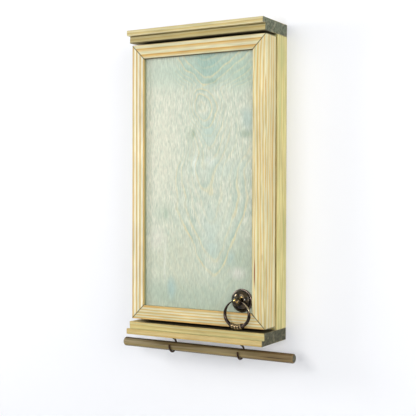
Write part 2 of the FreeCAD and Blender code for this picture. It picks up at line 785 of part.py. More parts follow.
def make_post():
    """The ball, its neck and the threaded stem that runs through the plate and the panel."""
    ball = primitive("Sphere", "Ball", ("pull_x", "ball_y", "pull_z"), "+Z", {"Radius": "ball_radius"})
    neck = cylinder("Neck", ("pull_x", "ball_y", "pull_z"), "+Y", "neck_radius", "dome_front - ball_y")
    stem = cylinder("Stem", ("pull_x", "ball_y", "pull_z"), "+Y", "post_radius", "post_end - ball_y")
    bore = cylinder("RingBore", ("pull_x - ball_radius", "ball_y", "pull_z"), "+X",
                    "ring_pin_radius + ring_pin_play", "2 * ball_radius")
    keep("pull_post", cut("Post", fuse("PostBlank", [ball, neck, stem]), [bore]))
    washer = cylinder("WasherDisc", ("pull_x", "panel_back", "pull_z"), "+Y", "washer_radius", "washer_thick")
    hole = cylinder("WasherHole", ("pull_x", "panel_back", "pull_z"), "+Y", "post_radius + glue_play", "washer_thick")
    keep("pull_washer", cut("Washer", washer, [hole]))
    hexagon = primitive("Prism", "NutHexagon", ("pull_x", "washer_back", "pull_z"), "+Y",
                        {"Circumradius": "nut_radius", "Height": "nut_thick"})
    hexagon.Polygon = 6
    thread = cylinder("NutThread", ("pull_x", "washer_back", "pull_z"), "+Y", "post_radius + glue_play", "nut_thick")
    keep("pull_nut", cut("Nut", hexagon, [thread]))


def make_pull_ring():
    """A cast ring, thin at the ball and full at its foot, with a beaded collar there."""
    wide, reach = value("ring_half_width"), value("ring_reach")
    low, high = value("ring_low_height"), value("ring_high_height")
    thin, full = value("ring_pin_radius"), value("ring_full_radius")
    pivot = vector("pull_x", "ball_y", "pull_z")
    centre = pivot - FreeCAD.Vector(0, 0, high * math.sqrt(1 - (reach / wide) ** 2))
    end_angle = 180 - math.degrees(math.asin(reach / wide))

    def spot(angle):
        """A point of the ring's middle line and the way it runs there, by degrees from its foot."""
        turn = math.radians(angle)
        tall = low if abs(angle) < 90 else high
        point = centre + FreeCAD.Vector(wide * math.sin(turn), 0, -tall * math.cos(turn))
        return point, FreeCAD.Vector(wide * math.cos(turn), 0, tall * math.sin(turn)).normalize()

    profiles = []
    for number in range(RING_SECTIONS):
        share = 2 * number / (RING_SECTIONS - 1) - 1
        point, heading = spot(share * end_angle)
        section = thin + (full - thin) * math.cos(math.pi / 2 * abs(share) ** RING_TAPER)
        profiles.append(Part.Wire([Part.makeCircle(section, point, heading)]))
    ring = Part.makeLoft(profiles, True, False)
    pieces = [Part.makeCylinder(thin, 2 * reach, pivot - FreeCAD.Vector(reach, 0, 0), FreeCAD.Vector(1, 0, 0))]
    pieces += [Part.makeSphere(thin, spot(angle)[0]) for angle in (-end_angle, end_angle)]
    step, flare = value("collar_step"), value("flare_step")
    beads = [(side * (number + 0.5) * step, "collar") for side in (-1, 1) for number in (0, 1)]
    for angle, kind in beads + [(-flare, "flare"), (flare, "flare")]:
        point, heading = spot(angle)
        length = value(kind + "_length")
        disc = Part.makeCylinder(value(kind + "_radius"), length, point - heading * (length / 2), heading)
        rounding = min(value("collar_round"), BEAD_ROUNDING * length)
        rims = [edge for edge in disc.Edges if isinstance(edge.Curve, Part.Circle)]
        pieces.append(disc.makeFillet(rounding, rims))
    solid_feature("pull_ring", ring.fuse(pieces))


# Bar and hooks

def make_bar():
    body = new_body("hanging_bar")
    sketch = new_sketch(body, "YZ_Plane", "0 - bar_length / 2")
    draw_circle(sketch, ("bar_y", "bar_z"), "bar_radius")
    pad(body, sketch, "bar_length")
    round_edges(body, "bar_round", lambda middle, way: abs(abs(middle.x) - value("bar_length / 2")) < NEAR)


def make_bar_hook(label, place):
    """An open screw hook: straight stem, a small bend backwards, then the loop round the bar's back and foot."""
    x = value(place)
    loop, bend = value("hook_loop_radius"), value("hook_neck_radius")
    centre = FreeCAD.Vector(x, value("bar_y"), value("hook_z"))
    rise = math.sqrt(loop ** 2 + 2 * loop * bend)
    lean = math.degrees(math.atan2(bend, rise))

    def on_loop(angle, radius=loop):
        """A point of the loop, by degrees from its top over its back."""
        turn = math.radians(angle)
        return centre + FreeCAD.Vector(0, math.sin(turn), math.cos(turn)) * radius

    bend_centre = centre + FreeCAD.Vector(0, bend, rise)
    stem_foot = centre + FreeCAD.Vector(0, 0, rise)
    middle = math.radians((180 + 270 - lean) / 2 - 90)
    knee = bend_centre - FreeCAD.Vector(0, math.sin(middle), math.cos(middle)) * bend
    tip = value("hook_tip_angle")
    top = FreeCAD.Vector(x, centre.y, value("board_bottom + hook_sunk"))
    edges = [
        Part.makeLine(top, stem_foot),
        Part.Arc(stem_foot, knee, on_loop(lean)).toShape(),
        Part.Arc(on_loop(lean), on_loop((lean + tip) / 2), on_loop(tip)).toShape()]
    solid_feature(label, bent_wire(edges, value("hook_wire_radius")))


def make_case():
    stepped_board("top_board", "case_top", "+")
    bottom = stepped_board("bottom_board", "case_bottom", "-")
    hooks = [(place, "bar_y") for place in ("0 - hook_left", "hook_right")]
    drill(bottom, "XY_Plane", "board_bottom", hooks, "hook_wire_radius + glue_play",
          "hook_sunk + hole_spare", along=True)
    case_side("side_left", "0 - ")
    case_side("side_right", "")
    make_back_panel()
    make_hanging_rail()
    make_case_joints()
    make_necklace_hooks()
    make_earring_rods()
    make_ring_shelf()


def make_door():
    make_frame()
    make_door_panel()
    make_beads()
    make_rosette()
    make_post()
    make_pull_ring()


def check_document():
    """Stops on a failed object, an empty or broken shape, or a cut that removes nothing."""
    for item in doc.Objects:
        if "Invalid" in item.State or "Error" in item.State:
            raise RuntimeError("%s failed: %s" % (item.Name, item.State))
        if item.TypeId == "PartDesign::Pocket":
            before = item.BaseFeature.Shape.Volume
            if before - item.Shape.Volume < NEAR:
                raise RuntimeError("%s in %s cuts nothing" % (item.Name, item.getParentGeoFeatureGroup().Label))
    for label, piece in nodes.items():
        if piece.Shape.isNull() or not piece.Shape.isValid() or not piece.Shape.Solids:
            raise RuntimeError("%s has no sound shape" % label)


make_case()
make_door()
make_hinges()
make_catch()
make_bar()
make_bar_hook("bar_hook_left", "0 - hook_left")
make_bar_hook("bar_hook_right", "hook_right")
doc.recompute()
check_document()
os.makedirs("parts", exist_ok=True)
for label, piece in nodes.items():
    piece.Shape.exportStep("parts/%s.step" % label)
print("%d pieces" % len(nodes))
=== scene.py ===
"""A small wall cabinet for jewellery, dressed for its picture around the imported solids.

Blender's objects are in metres in the solids' own frame: X to the right, Y into the wall and Z up, with
the origin on the wall plane between the two wall screws. Sizes in the classes are in millimetres. One pixel
of the picture covers about 1.25 mm of the cabinet, so a pattern finer than that is drawn coarser, and the
comment beside it says so.
"""

import logging
import math
from contextlib import contextmanager
from dataclasses import dataclass, replace
from enum import Enum
from typing import Callable, Iterator, Optional, Sequence, Union

import bmesh
import bpy
from mathutils import Euler, Matrix, Vector


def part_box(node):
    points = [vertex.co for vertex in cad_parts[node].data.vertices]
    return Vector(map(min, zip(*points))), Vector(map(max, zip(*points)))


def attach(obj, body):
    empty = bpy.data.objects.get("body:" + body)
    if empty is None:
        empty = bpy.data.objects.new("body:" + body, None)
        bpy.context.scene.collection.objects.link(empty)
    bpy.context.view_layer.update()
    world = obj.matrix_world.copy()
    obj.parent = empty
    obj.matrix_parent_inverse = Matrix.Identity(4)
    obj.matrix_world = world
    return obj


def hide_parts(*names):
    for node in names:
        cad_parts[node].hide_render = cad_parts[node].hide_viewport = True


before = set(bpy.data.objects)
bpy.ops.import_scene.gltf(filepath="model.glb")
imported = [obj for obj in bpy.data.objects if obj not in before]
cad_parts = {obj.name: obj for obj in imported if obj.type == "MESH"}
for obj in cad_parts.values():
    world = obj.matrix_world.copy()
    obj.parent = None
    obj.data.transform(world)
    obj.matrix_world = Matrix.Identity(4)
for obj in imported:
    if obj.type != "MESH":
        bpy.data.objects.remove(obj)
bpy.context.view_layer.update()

log = logging.getLogger("cabinet")
logging.basicConfig(level=logging.INFO, format="%(name)s: %(message)s")

MM = 0.001
Place = tuple[float, float, float]
Source = Union[float, Sequence[float], bpy.types.Node, bpy.types.NodeSocket]


# Colours and shader nodes

def linear(hex_colour: str) -> tuple[float, float, float, float]:
    """Turns an sRGB hex colour into Blender's linear values.

    Args:
        hex_colour: Six hex digits, such as "d9c48a".

    Returns:
        Red, green, blue and a full alpha.
    """
    parts = [int(hex_colour[i:i + 2], 16) / 255 for i in (0, 2, 4)]
    bent = [c / 12.92 if c <= 0.04045 else ((c + 0.055) / 1.055) ** 2.4 for c in parts]
    return (*bent, 1.0)


def add_node(tree: bpy.types.NodeTree, kind: str, inputs: Optional[dict[Union[int, str], Source]] = None,
             stops: Sequence[tuple[float, str]] = (), **settings: object) -> bpy.types.Node:
    """Adds one shader node, with its settings and links.

    Args:
        tree: The material's node tree.
        kind: The node's type without the word ShaderNode.
        inputs: Input to a value, to an output socket, or to a node for its first output.
        stops: Places and hex colours of a colour ramp.
        settings: The node's own properties.

    Returns:
        The new node.
    """
    node = tree.nodes.new("ShaderNode" + kind)
    for key, setting in settings.items():
        setattr(node, key, setting)
    for key, source in (inputs or {}).items():
        if isinstance(source, bpy.types.Node):
            source = source.outputs[0]
        if isinstance(source, bpy.types.NodeSocket):
            tree.links.new(source, node.inputs[key])
        else:
            node.inputs[key].default_value = source
    for number, (place, colour) in enumerate(stops):
        ramp = node.color_ramp.elements
        stop = ramp[number] if number < 2 else ramp.new(place)
        stop.position = place
        stop.color = linear(colour)
    return node


def new_material(name: str) -> tuple[bpy.types.Material, bpy.types.NodeTree]:
    """Makes an empty node material.

    Args:
        name: The material's name.

    Returns:
        The material and its node tree.
    """
    material = bpy.data.materials.new(name)
    material.use_nodes = True
    material.node_tree.nodes.clear()
    return material, material.node_tree


def close_material(tree: bpy.types.NodeTree, shader: bpy.types.Node) -> None:
    """Links a shader to a material's output."""
    add_node(tree, "OutputMaterial", {"Surface": shader})


# Finishes

class Grain(Enum):
    """Which way a piece's fibres run: the two axes across them, then the axis along them."""

    UPRIGHT = (0, 1, 2)
    ACROSS = (2, 1, 0)


@dataclass(frozen=True)
class Mark:
    """A short streak in the wood, such as pitch or a drying crack.

    Its place is given along Grain's first two axes and along the fibres, in millimetres.
    """

    place: Place
    reach: Place
    colour: str
    strength: float


@dataclass(frozen=True)
class StainedPine:
    """Pine, planed flat, with one thin coat of stain and a satin clear coat wiped over it.

    Planing leaves a smooth face where pale greenish earlywood and tan latewood show as stripes. The cut ends
    drink the stain and turn grey and blotchy. The rings are cylinders round a pith outside the piece, so its
    faces, edges and ends all agree. Beech and birch pieces use the same wood with colours of their own.

    The pith and the ring spacing are in millimetres, wander is how far the rings stray, uneven how much their
    spacing varies and weakest the strength of the faintest latewood. Level faces at the listed heights inside
    the door's gap get painted shade, near black, and mitred pieces get the dark hairlines of the door's corners.
    """

    name: str
    grain: Grain
    pith: tuple[float, float]
    ring: float
    phase: float = 0.0
    wander: float = 2.0
    cream: str = "e4dfc2"
    tan: str = "dab772"
    deep: str = "c6984a"
    green: str = "b6be8a"
    green_share: float = 0.35
    cream_share: float = 0.28
    uneven: float = 0.5
    weakest: float = 0.6
    end: str = "575d4b"
    end_dry: str = "857f68"
    shade: float = 1.0
    marks: tuple[Mark, ...] = ()
    mitred: bool = False
    # Heights of level faces inside the door's gap, painted near black as shade.
    gap_shade_levels: tuple[float, ...] = ()
    # Real fibres are some 0.04 mm wide and 3 mm long. They are drawn 1.4 mm wide, and longer in the same way.
    fibre_size: Place = (1.4, 1.4, 22)
    # Greenish streaks, patches that took more stain, the rings' slow bends, and where they grow faint.
    streak_size: Place = (2.2, 2.2, 90)
    cloud_size: Place = (16, 16, 55)
    bend_size: Place = (34, 34, 170)
    fade_size: Place = (12, 12, 60)
    # On a cut end the open pores are some 0.1 mm wide, drawn as 3 mm blotches, with drier patches between.
    pore_size: Place = (3, 3, 3)
    dry_size: Place = (9, 9, 7)

    def material(self) -> bpy.types.Material:
        """Builds the wood's material.

        Returns:
            The material.
        """
        material, tree = new_material(self.name)
        coordinates = add_node(tree, "TexCoord")
        here = add_node(tree, "VectorMath", {0: coordinates.outputs["Object"], 1: (1 / MM,) * 3},
                        operation="MULTIPLY")
        axes = add_node(tree, "SeparateXYZ", {0: here})
        turned = add_node(tree, "CombineXYZ", {n: axes.outputs[a] for n, a in enumerate(self.grain.value)})
        wood = add_node(tree, "VectorMath", {0: turned, 1: (*self.pith, 0)}, operation="SUBTRACT")
        within, strength = self._rings(tree, wood)
        fibre = grain_noise(tree, wood, self.fibre_size, 4)
        streak = grain_noise(tree, wood, self.streak_size, 3)
        cloud = grain_noise(tree, wood, self.cloud_size, 2)

        # Across one ring: earlywood, a slow rise to dark latewood, and a sharp end where winter came.
        late = add_node(tree, "ValToRGB", {0: within}, stops=(
            (0.0, "000000"), (self.cream_share, "000000"), (self.cream_share + 0.12, "8f8f8f"), (0.66, "b8b8b8"),
            (0.8, "ffffff"), (0.9, "606060"), (0.96, "000000")))
        lateness = add_node(tree, "Math", {0: late, 1: strength}, operation="MULTIPLY")
        body = add_node(tree, "ValToRGB", {0: lateness},
                        stops=((0.0, self.cream), (0.45, self.tan), (0.95, self.deep)))
        green_mask = add_node(tree, "MapRange", {0: streak, 1: 0.5, 2: 0.72, 3: 0.0, 4: self.green_share})
        tinted = add_node(tree, "Mix", {"Factor": green_mask, "A": body, "B": linear(self.green)},
                          data_type="RGBA")
        tone = add_node(tree, "Math", {0: fibre, 1: cloud}, operation="ADD")
        light = add_node(tree, "MapRange", {0: tone, 1: 0.6, 2: 1.4, 3: 0.72 * self.shade, 4: 1.16 * self.shade})
        colour: Source = add_node(tree, "VectorMath", {0: tinted.outputs["Result"], "Scale": light},
                                  operation="SCALE")
        for mark in self.marks:
            colour = self._mark(tree, turned, colour, mark)
        if self.mitred:
            colour = self._joints(tree, axes, coordinates, colour)
        # Painted shade: the faces inside the door's gap turn near black.
        for height in self.gap_shade_levels:
            colour = self._paint_gap_shade(tree, axes, height, colour)
        colour = self._end_grain(tree, coordinates, lateness, here, colour)

        # Hard latewood stands a little proud of the planed face, and the thin clear coat shines more on it.
        height = add_node(tree, "Math", {0: lateness, 1: 0.6, 2: fibre}, operation="MULTIPLY_ADD")
        bump = add_node(tree, "Bump", {"Strength": 0.4, "Distance": 0.12 * MM, "Height": height})
        rough = add_node(tree, "MapRange", {0: lateness, 3: 0.6, 4: 0.48})
        shader = add_node(tree, "BsdfPrincipled", {"Base Color": colour, "Roughness": rough, "Normal": bump,
                                                   "IOR": 1.45, "Specular IOR Level": 0.3})
        close_material(tree, shader)
        return material

    def _rings(self, tree: bpy.types.NodeTree, wood: bpy.types.Node) -> tuple[bpy.types.Node, bpy.types.Node]:
        """Lays the growth rings round the pith.

        Args:
            tree: The node tree.
            wood: The place seen from the pith, in millimetres, with the fibres along its third axis.

        Returns:
            The place within a ring, 0 to 1, and how strong that ring's latewood is.
        """
        bend = grain_noise(tree, wood, self.bend_size, 3)
        push = add_node(tree, "VectorMath", {0: bend.outputs["Color"], 1: (0.5,) * 3}, operation="SUBTRACT")
        swing = (2 * self.wander, 2 * self.wander, 0)
        bent = add_node(tree, "VectorMath", {0: push, 1: swing, 2: wood}, operation="MULTIPLY_ADD")
        flat = add_node(tree, "VectorMath", {0: bent, 1: (1, 1, 0)}, operation="MULTIPLY")
        radius = add_node(tree, "VectorMath", {0: flat}, operation="LENGTH")
        count = add_node(tree, "Math", {0: radius.outputs["Value"], 1: 1 / self.ring, 2: self.phase},
                         operation="MULTIPLY_ADD")
        year = add_node(tree, "TexNoise", {"W": count, "Scale": 0.7, "Detail": 0.0}, noise_dimensions="1D")
        uneven = add_node(tree, "Math", {0: year, 1: self.uneven, 2: count}, operation="MULTIPLY_ADD")
        number = add_node(tree, "Math", {0: uneven}, operation="FLOOR")
        within = add_node(tree, "Math", {0: uneven}, operation="FRACT")
        draw = add_node(tree, "TexWhiteNoise", {"W": number}, noise_dimensions="1D")
        fade = grain_noise(tree, wood, self.fade_size, 2)
        chance = add_node(tree, "Math", {0: draw.outputs["Value"], 1: fade}, operation="ADD")
        return within, add_node(tree, "MapRange", {0: chance, 1: 0.3, 2: 1.3, 3: self.weakest, 4: 1.0})

    @staticmethod
    def _mark(tree: bpy.types.NodeTree, turned: bpy.types.Node, colour: Source,
              mark: Mark) -> bpy.types.NodeSocket:
        """Lays one streak over the colour.

        Args:
            tree: The node tree.
            turned: The place in millimetres, with the fibres along its third axis.
            colour: The colour so far.
            mark: The streak.

        Returns:
            The new colour.
        """
        away = add_node(tree, "VectorMath", {0: turned, 1: mark.place}, operation="SUBTRACT")
        scaled = add_node(tree, "VectorMath", {0: away, 1: tuple(1 / reach for reach in mark.reach)},
                          operation="MULTIPLY")
        reach = add_node(tree, "VectorMath", {0: scaled}, operation="LENGTH")
        mask = add_node(tree, "MapRange", {0: reach.outputs["Value"], 1: 1.0, 2: 0.3, 3: 0.0, 4: mark.strength},
                        interpolation_type="SMOOTHSTEP")
        return add_node(tree, "Mix", {"Factor": mask, "A": colour, "B": linear(mark.colour)},
                        data_type="RGBA").outputs["Result"]

    @staticmethod
    def _paint_gap_shade(tree: bpy.types.NodeTree, axes: bpy.types.Node, level: float,
                    colour: Source) -> bpy.types.NodeSocket:
        """Paints shade on a level face inside the door's gap: near black, fading out towards its open left end.

        Args:
            tree: The node tree.
            axes: The place in millimetres, as separate axes.
            level: The face's height.
            colour: The colour so far.

        Returns:
            The new colour.
        """
        off = add_node(tree, "Math", {0: axes.outputs[2], 1: level}, operation="SUBTRACT")
        apart = add_node(tree, "Math", {0: off}, operation="ABSOLUTE")
        near = add_node(tree, "Math", {0: apart, 1: 0.12}, operation="LESS_THAN")
        # The painted shade is faint at the open left end and strong further in.
        reach = add_node(tree, "MapRange", {0: axes.outputs[0], 1: -96.0, 2: -76.0, 3: 0.05, 4: 0.9})
        share = add_node(tree, "Math", {0: near, 1: reach}, operation="MULTIPLY")
        return add_node(tree, "Mix", {"Factor": share, "A": colour, "B": linear("1c160c")},
                        data_type="RGBA").outputs["Result"]

    @staticmethod
    def _joints(tree: bpy.types.NodeTree, axes: bpy.types.Node, coordinates: bpy.types.Node,
                colour: Source) -> bpy.types.NodeSocket:
        """Darkens the hairline of each mitre, and tints the reveal faces next to the panel with a grey-green
        stain, painted darker as shade deeper in the recess, and painted dark brown as shade where they look down.

        Args:
            tree: The node tree.
            axes: The place in millimetres, as separate axes.
            coordinates: The texture coordinates, for the way a face looks.
            colour: The colour so far.

        Returns:
            The new colour.
        """
        low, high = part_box("door_stile_left")
        half, top, foot, inner = -low.x / MM, high.z / MM, low.z / MM, -high.x / MM
        across = add_node(tree, "Math", {0: axes.outputs[0]}, operation="ABSOLUTE")
        lines = []
        for operation, level in (("SUBTRACT", top - half), ("ADD", foot + half)):
            slanted = add_node(tree, "Math", {0: axes.outputs[2], 1: across}, operation=operation)
            from_line = add_node(tree, "Math", {0: slanted, 1: level}, operation="SUBTRACT")
            lines.append(add_node(tree, "Math", {0: from_line}, operation="ABSOLUTE"))
        nearest = add_node(tree, "Math", dict(enumerate(lines)), operation="MINIMUM")
        # The joint itself is some 0.2 mm wide, drawn wider so that it shows.
        hairline = add_node(tree, "MapRange", {0: nearest, 1: 1.35, 2: 0.5, 3: 0.0, 4: 0.85})
        cut = add_node(tree, "Mix", {"Factor": hairline, "A": colour, "B": linear("4b4830")}, data_type="RGBA")

        facing = add_node(tree, "VectorMath", {0: coordinates.outputs["Normal"]}, operation="ABSOLUTE")
        parts = add_node(tree, "SeparateXYZ", {0: facing})
        sideways = add_node(tree, "Math", {0: parts.outputs[1], 1: 0.5}, operation="LESS_THAN")
        inside = add_node(tree, "Math", {0: across, 1: inner + 0.6}, operation="LESS_THAN")
        above = add_node(tree, "Math", {0: axes.outputs[2], 1: top - (half - inner) + 0.6}, operation="LESS_THAN")
        below = add_node(tree, "Math", {0: axes.outputs[2], 1: foot + (half - inner) - 0.6},
                         operation="GREATER_THAN")
        reveal_faces: Source = sideways
        for condition in (inside, above, below):
            reveal_faces = add_node(tree, "Math", {0: reveal_faces, 1: condition}, operation="MULTIPLY")
        # Painted shade: reveal faces that look down turn dark brown, and all of them darken deeper in the recess.
        looks = add_node(tree, "SeparateXYZ", {0: coordinates.outputs["Normal"]})
        down = add_node(tree, "Math", {0: looks.outputs[2], 1: -0.5}, operation="LESS_THAN")
        tone = add_node(tree, "Mix", {"Factor": down, "A": linear("87967a"), "B": linear("5e4d28")},
                        data_type="RGBA")
        depth = add_node(tree, "MapRange", {0: axes.outputs[1], 1: -56.4, 2: -52.4, 3: 0.12, 4: 0.9})
        deep = add_node(tree, "Math", {0: down, 1: 0.85, 2: depth}, operation="MULTIPLY_ADD", use_clamp=True)
        share = add_node(tree, "Math", {0: reveal_faces, 1: deep}, operation="MULTIPLY")
        return add_node(tree, "Mix", {"Factor": share, "A": cut.outputs["Result"], "B": tone.outputs["Result"]},
                        data_type="RGBA").outputs["Result"]

    def _end_grain(self, tree: bpy.types.NodeTree, coordinates: bpy.types.Node, lateness: bpy.types.Node,
                   here: bpy.types.Node, colour: Source) -> bpy.types.NodeSocket:
        """Turns faces that are cut across the fibres grey-green, blotched, with the rings still showing.

        Args:
            tree: The node tree.
            coordinates: The texture coordinates, for the way a face looks.
            lateness: How much latewood a place holds.
            here: The place in millimetres.
            colour: The colour so far.

        Returns:
            The new colour.
        """
        along = Vector([0, 0, 0])
        along[self.grain.value[2]] = 1
        facing = add_node(tree, "VectorMath", {0: coordinates.outputs["Normal"], 1: along},
                          operation="DOT_PRODUCT")
        square = add_node(tree, "Math", {0: facing.outputs["Value"]}, operation="ABSOLUTE")
        mask = add_node(tree, "MapRange", {0: square, 1: 0.78, 2: 0.93})
        mottle = add_node(tree, "Math", {0: lateness, 1: 0.22, 2: grain_noise(tree, here, self.pore_size, 4)},
                          operation="MULTIPLY_ADD")
        light = add_node(tree, "MapRange", {0: mottle, 1: 0.4, 2: 0.8, 3: 1.5, 4: 0.45})
        dry = add_node(tree, "MapRange", {0: grain_noise(tree, here, self.dry_size, 3), 1: 0.5, 2: 0.66,
                                          3: 0.0, 4: 0.6})
        tone = add_node(tree, "Mix", {"Factor": dry, "A": linear(self.end), "B": linear(self.end_dry)},
                        data_type="RGBA")
        dark = add_node(tree, "VectorMath", {0: tone.outputs["Result"], "Scale": light}, operation="SCALE")
        return add_node(tree, "Mix", {"Factor": mask, "A": colour, "B": dark}, data_type="RGBA").outputs["Result"]


def grain_noise(tree: bpy.types.NodeTree, place: bpy.types.Node, sizes: Place, detail: float) -> bpy.types.Node:
    """Noise with a grain of its own size along each axis.

    Args:
        tree: The node tree.
        place: The place, in millimetres.
        sizes: The grain's size along the three axes, in millimetres.
        detail: Octaves of finer noise.

    Returns:
        The noise node.
    """
    shrunk = add_node(tree, "VectorMath", {0: place, 1: tuple(1 / size for size in sizes)}, operation="MULTIPLY")
    return add_node(tree, "TexNoise", {"Vector": shrunk, "Scale": 1.0, "Detail": detail})


class Figure(Enum):
    """What the table of a veneer's figure gives at each height."""

    LAYERS = 1
    MIDDLE = 2
    LEFT = 3
    RIGHT = 4


@dataclass(frozen=True)
class Patch:
    """A soft patch of another tone in the veneer."""

    middle: tuple[float, float]
    half: tuple[float, float]
    colour: str
    strength: float


@dataclass(frozen=True)
class WashedVeneer:
    """Birch plywood whose face was peeled from the turning log, under a thin grey-green wash.

    The peeling knife meets the growth layers as nested arches that point down, round one closed eye near the
    top. Each shows as a thin cream line with a blue-green band inside it, and fine upright fibres cover it all.
    The watery wash lies dull and uneven, so the face has no gloss to speak of.

    The figure is read down its middle: a height, how many layers were cut through there, where the middle lies,
    and how far apart the layers come up on its left and on its right, in millimetres. The strengths say how
    plainly each layer shows, from the lowest up.
    """

    name: str = "washed_birch_veneer"
    pale: str = "c6ccba"
    wash: str = "acbbad"
    blue: str = "92b0a5"
    cream: str = "d3c99c"
    light: str = "dadbcb"
    figure: tuple[tuple[float, float, float, float, float], ...] = (
        (-335, -2.2, 21, 13, 13), (-284, 0, 21.5, 12, 12), (-267, 1, 21.5, 12, 11), (-240, 2, 21, 12, 12),
        (-215, 3, 19, 12.5, 12), (-183, 4, 17, 10, 12), (-146, 5, 9, 7, 10.5), (-121, 6, 15, 5, 10),
        (-104, 7, 12, 4.5, 9), (-95, 8, 9, 4.2, 8.5), (-88, 8.9, 7.5, 4, 7), (-78, 9.8, 6.5, 4, 6.5),
        (-67, 10.3, 6, 4, 6.5), (-56, 9.8, 5.5, 4, 6.5), (-48, 8.9, 5, 4.4, 7.5), (-44, 8.2, 5, 5.5, 10),
        (-41.5, 7.95, 6, 6, 12), (-35, 8.6, 10, 7, 14), (-20, 10, 8, 8, 16), (0, 11.8, 6, 8, 17))
    strengths: tuple[float, ...] = (0.1, 0.85, 0.7, 0.22, 0.25, 0.5, 0.35, 0.45, 0.35, 0.7, 0.7, 0.3, 0.35)
    # Most patches lie where the veneer drank more or less of the wash. The first three make the top of the panel
    # bluer and darker.
    patches: tuple[Patch, ...] = (
        Patch((12, -12), (34, 28), "96b2a6", 0.95), Patch((-44, -20), (40, 22), "b2c3b3", 0.8),
        Patch((62, -20), (30, 28), "aabfae", 0.85), Patch((20, -34), (9, 3.5), "8fa591", 0.6),
        Patch((-58, -120), (30, 90), "dcdac6", 0.5), Patch((-9, -102), (2.6, 6), "7f967e", 0.8),
        Patch((-13, -103), (8, 8), "b4c0aa", 0.5), Patch((14, -98), (13, 17), "acc4ba", 0.6),
        Patch((70, -102), (9, 4.5), "93a68e", 0.6), Patch((72, -84), (9, 15), "a9c2bd", 0.6),
        Patch((-49, -204), (3, 7), "7f9a80", 0.7), Patch((-52, -202), (16, 14), "b3c0ad", 0.6),
        Patch((17, -226), (14, 30), "b6c8bf", 0.5), Patch((20, -247), (9, 14), "a9c1ba", 0.45),
        Patch((-51, -270), (2.2, 32), "e8ebe2", 0.9), Patch((-5, -140), (3.5, 14), "e6eadf", 0.7),
        Patch((17, -137), (9, 6), "dde3dc", 0.5), Patch((71, -128), (9, 14), "d8d8c2", 0.5),
        Patch((-52, -306), (26, 14), "a3b8ab", 0.6), Patch((62, -268), (34, 40), "a3b19d", 0.75),
        Patch((-10, -314), (110, 32), "a6b4a1", 0.8), Patch((-40, -262), (50, 40), "c1c6b0", 0.65),
        Patch((30, -146), (50, 12), "c0cdc0", 0.5), Patch((40, -222), (26, 26), "c3cdbc", 0.5),
        Patch((58, -278), (12, 8), "d4d3c8", 0.7), Patch((49, -260), (6, 10), "a5bdb8", 0.5),
        Patch((-41, -302), (6, 14), "9ebab8", 0.7), Patch((-64, -238), (14, 16), "dcd9cc", 0.5))
    # Birch fibres are some 0.03 mm wide and its vessels 0.1 mm. Both are drawn 1.3 to 1.7 mm wide, to show.
    fibre_size: Place = (1.3, 1.3, 6)
    streak_size: Place = (1.7, 1.7, 9)
    mottle_size: Place = (6, 6, 20)
    # Slow waves that bend the whole figure, smaller ones within each layer, and where the layers grow faint.
    wave_size: Place = (30, 30, 42)
    stray_size: Place = (19, 19, 44)
    fade_size: Place = (20, 20, 34)
    bend: float = 10.0
    flow: float = 7.0
    round_foot: float = 9.0
    stray: float = 0.9
    first_layer: float = 0.42

    def material(self) -> bpy.types.Material:
        """Builds the veneer's material.

        Returns:
            The material.
        """
        material, tree = new_material(self.name)
        coordinates = add_node(tree, "TexCoord")
        here = add_node(tree, "VectorMath", {0: coordinates.outputs["Object"], 1: (1 / MM,) * 3},
                        operation="MULTIPLY")
        wave = grain_noise(tree, here, self.wave_size, 2)
        push = add_node(tree, "VectorMath", {0: wave.outputs["Color"], 1: (0.5,) * 3}, operation="SUBTRACT")
        bent, flow = (add_node(tree, "VectorMath", {0: push, 1: (reach, 0, reach), 2: here},
                               operation="MULTIPLY_ADD") for reach in (self.bend, self.flow))
        streak = grain_noise(tree, flow, self.streak_size, 5)
        mottle = add_node(tree, "Math", {0: grain_noise(tree, flow, self.mottle_size, 2), 1: 0.2},
                          operation="MULTIPLY")
        mixed = add_node(tree, "Math", {0: streak, 1: 0.72, 2: mottle}, operation="MULTIPLY_ADD")
        body = add_node(tree, "ValToRGB", {0: mixed},
                        stops=((0.28, self.wash), (0.46, self.pale), (0.6, self.light), (0.78, self.cream)))
        uneven = add_node(tree, "MapRange", {0: streak, 1: 0.3, 2: 0.65, 3: 0.55, 4: 1.15})
        colour: Source = body
        for patch in self.patches:
            near = self._near(tree, bent, patch.middle, patch.half)
            soft = add_node(tree, "MapRange", {0: near, 1: 1.35, 2: 0.35, 3: 0.0, 4: patch.strength})
            colour = self._tint(tree, colour, patch.colour, soft, uneven)
        blue, line = self._layers(tree, bent)
        colour = self._tint(tree, colour, self.blue, blue, uneven)
        colour = self._tint(tree, colour, self.cream, line, uneven)
        fibre = grain_noise(tree, flow, self.fibre_size, 5)
        light = add_node(tree, "MapRange", {0: fibre, 1: 0.3, 2: 0.7, 3: 0.85, 4: 1.1})
        toned = add_node(tree, "VectorMath", {0: colour, "Scale": light}, operation="SCALE")
        bump = add_node(tree, "Bump", {"Strength": 0.3, "Distance": 0.06 * MM, "Height": fibre})
        shader = add_node(tree, "BsdfPrincipled", {"Base Color": toned, "Roughness": 0.62, "Normal": bump,
                                                   "IOR": 1.45, "Specular IOR Level": 0.25})
        close_material(tree, shader)
        return material

    @staticmethod
    def _tint(tree: bpy.types.NodeTree, colour: Source, tint: str, share: Source,
              uneven: bpy.types.Node) -> bpy.types.NodeSocket:
        """Lays a tint over the colour, more in some fibres than in others.

        Args:
            tree: The node tree.
            colour: The colour so far.
            tint: The tint's hex colour.
            share: How much of it a place gets.
            uneven: How well the fibres take it.

        Returns:
            The new colour.
        """
        factor = add_node(tree, "Math", {0: share, 1: uneven}, operation="MULTIPLY", use_clamp=True)
        return add_node(tree, "Mix", {"Factor": factor, "A": colour, "B": linear(tint)},
                        data_type="RGBA").outputs["Result"]

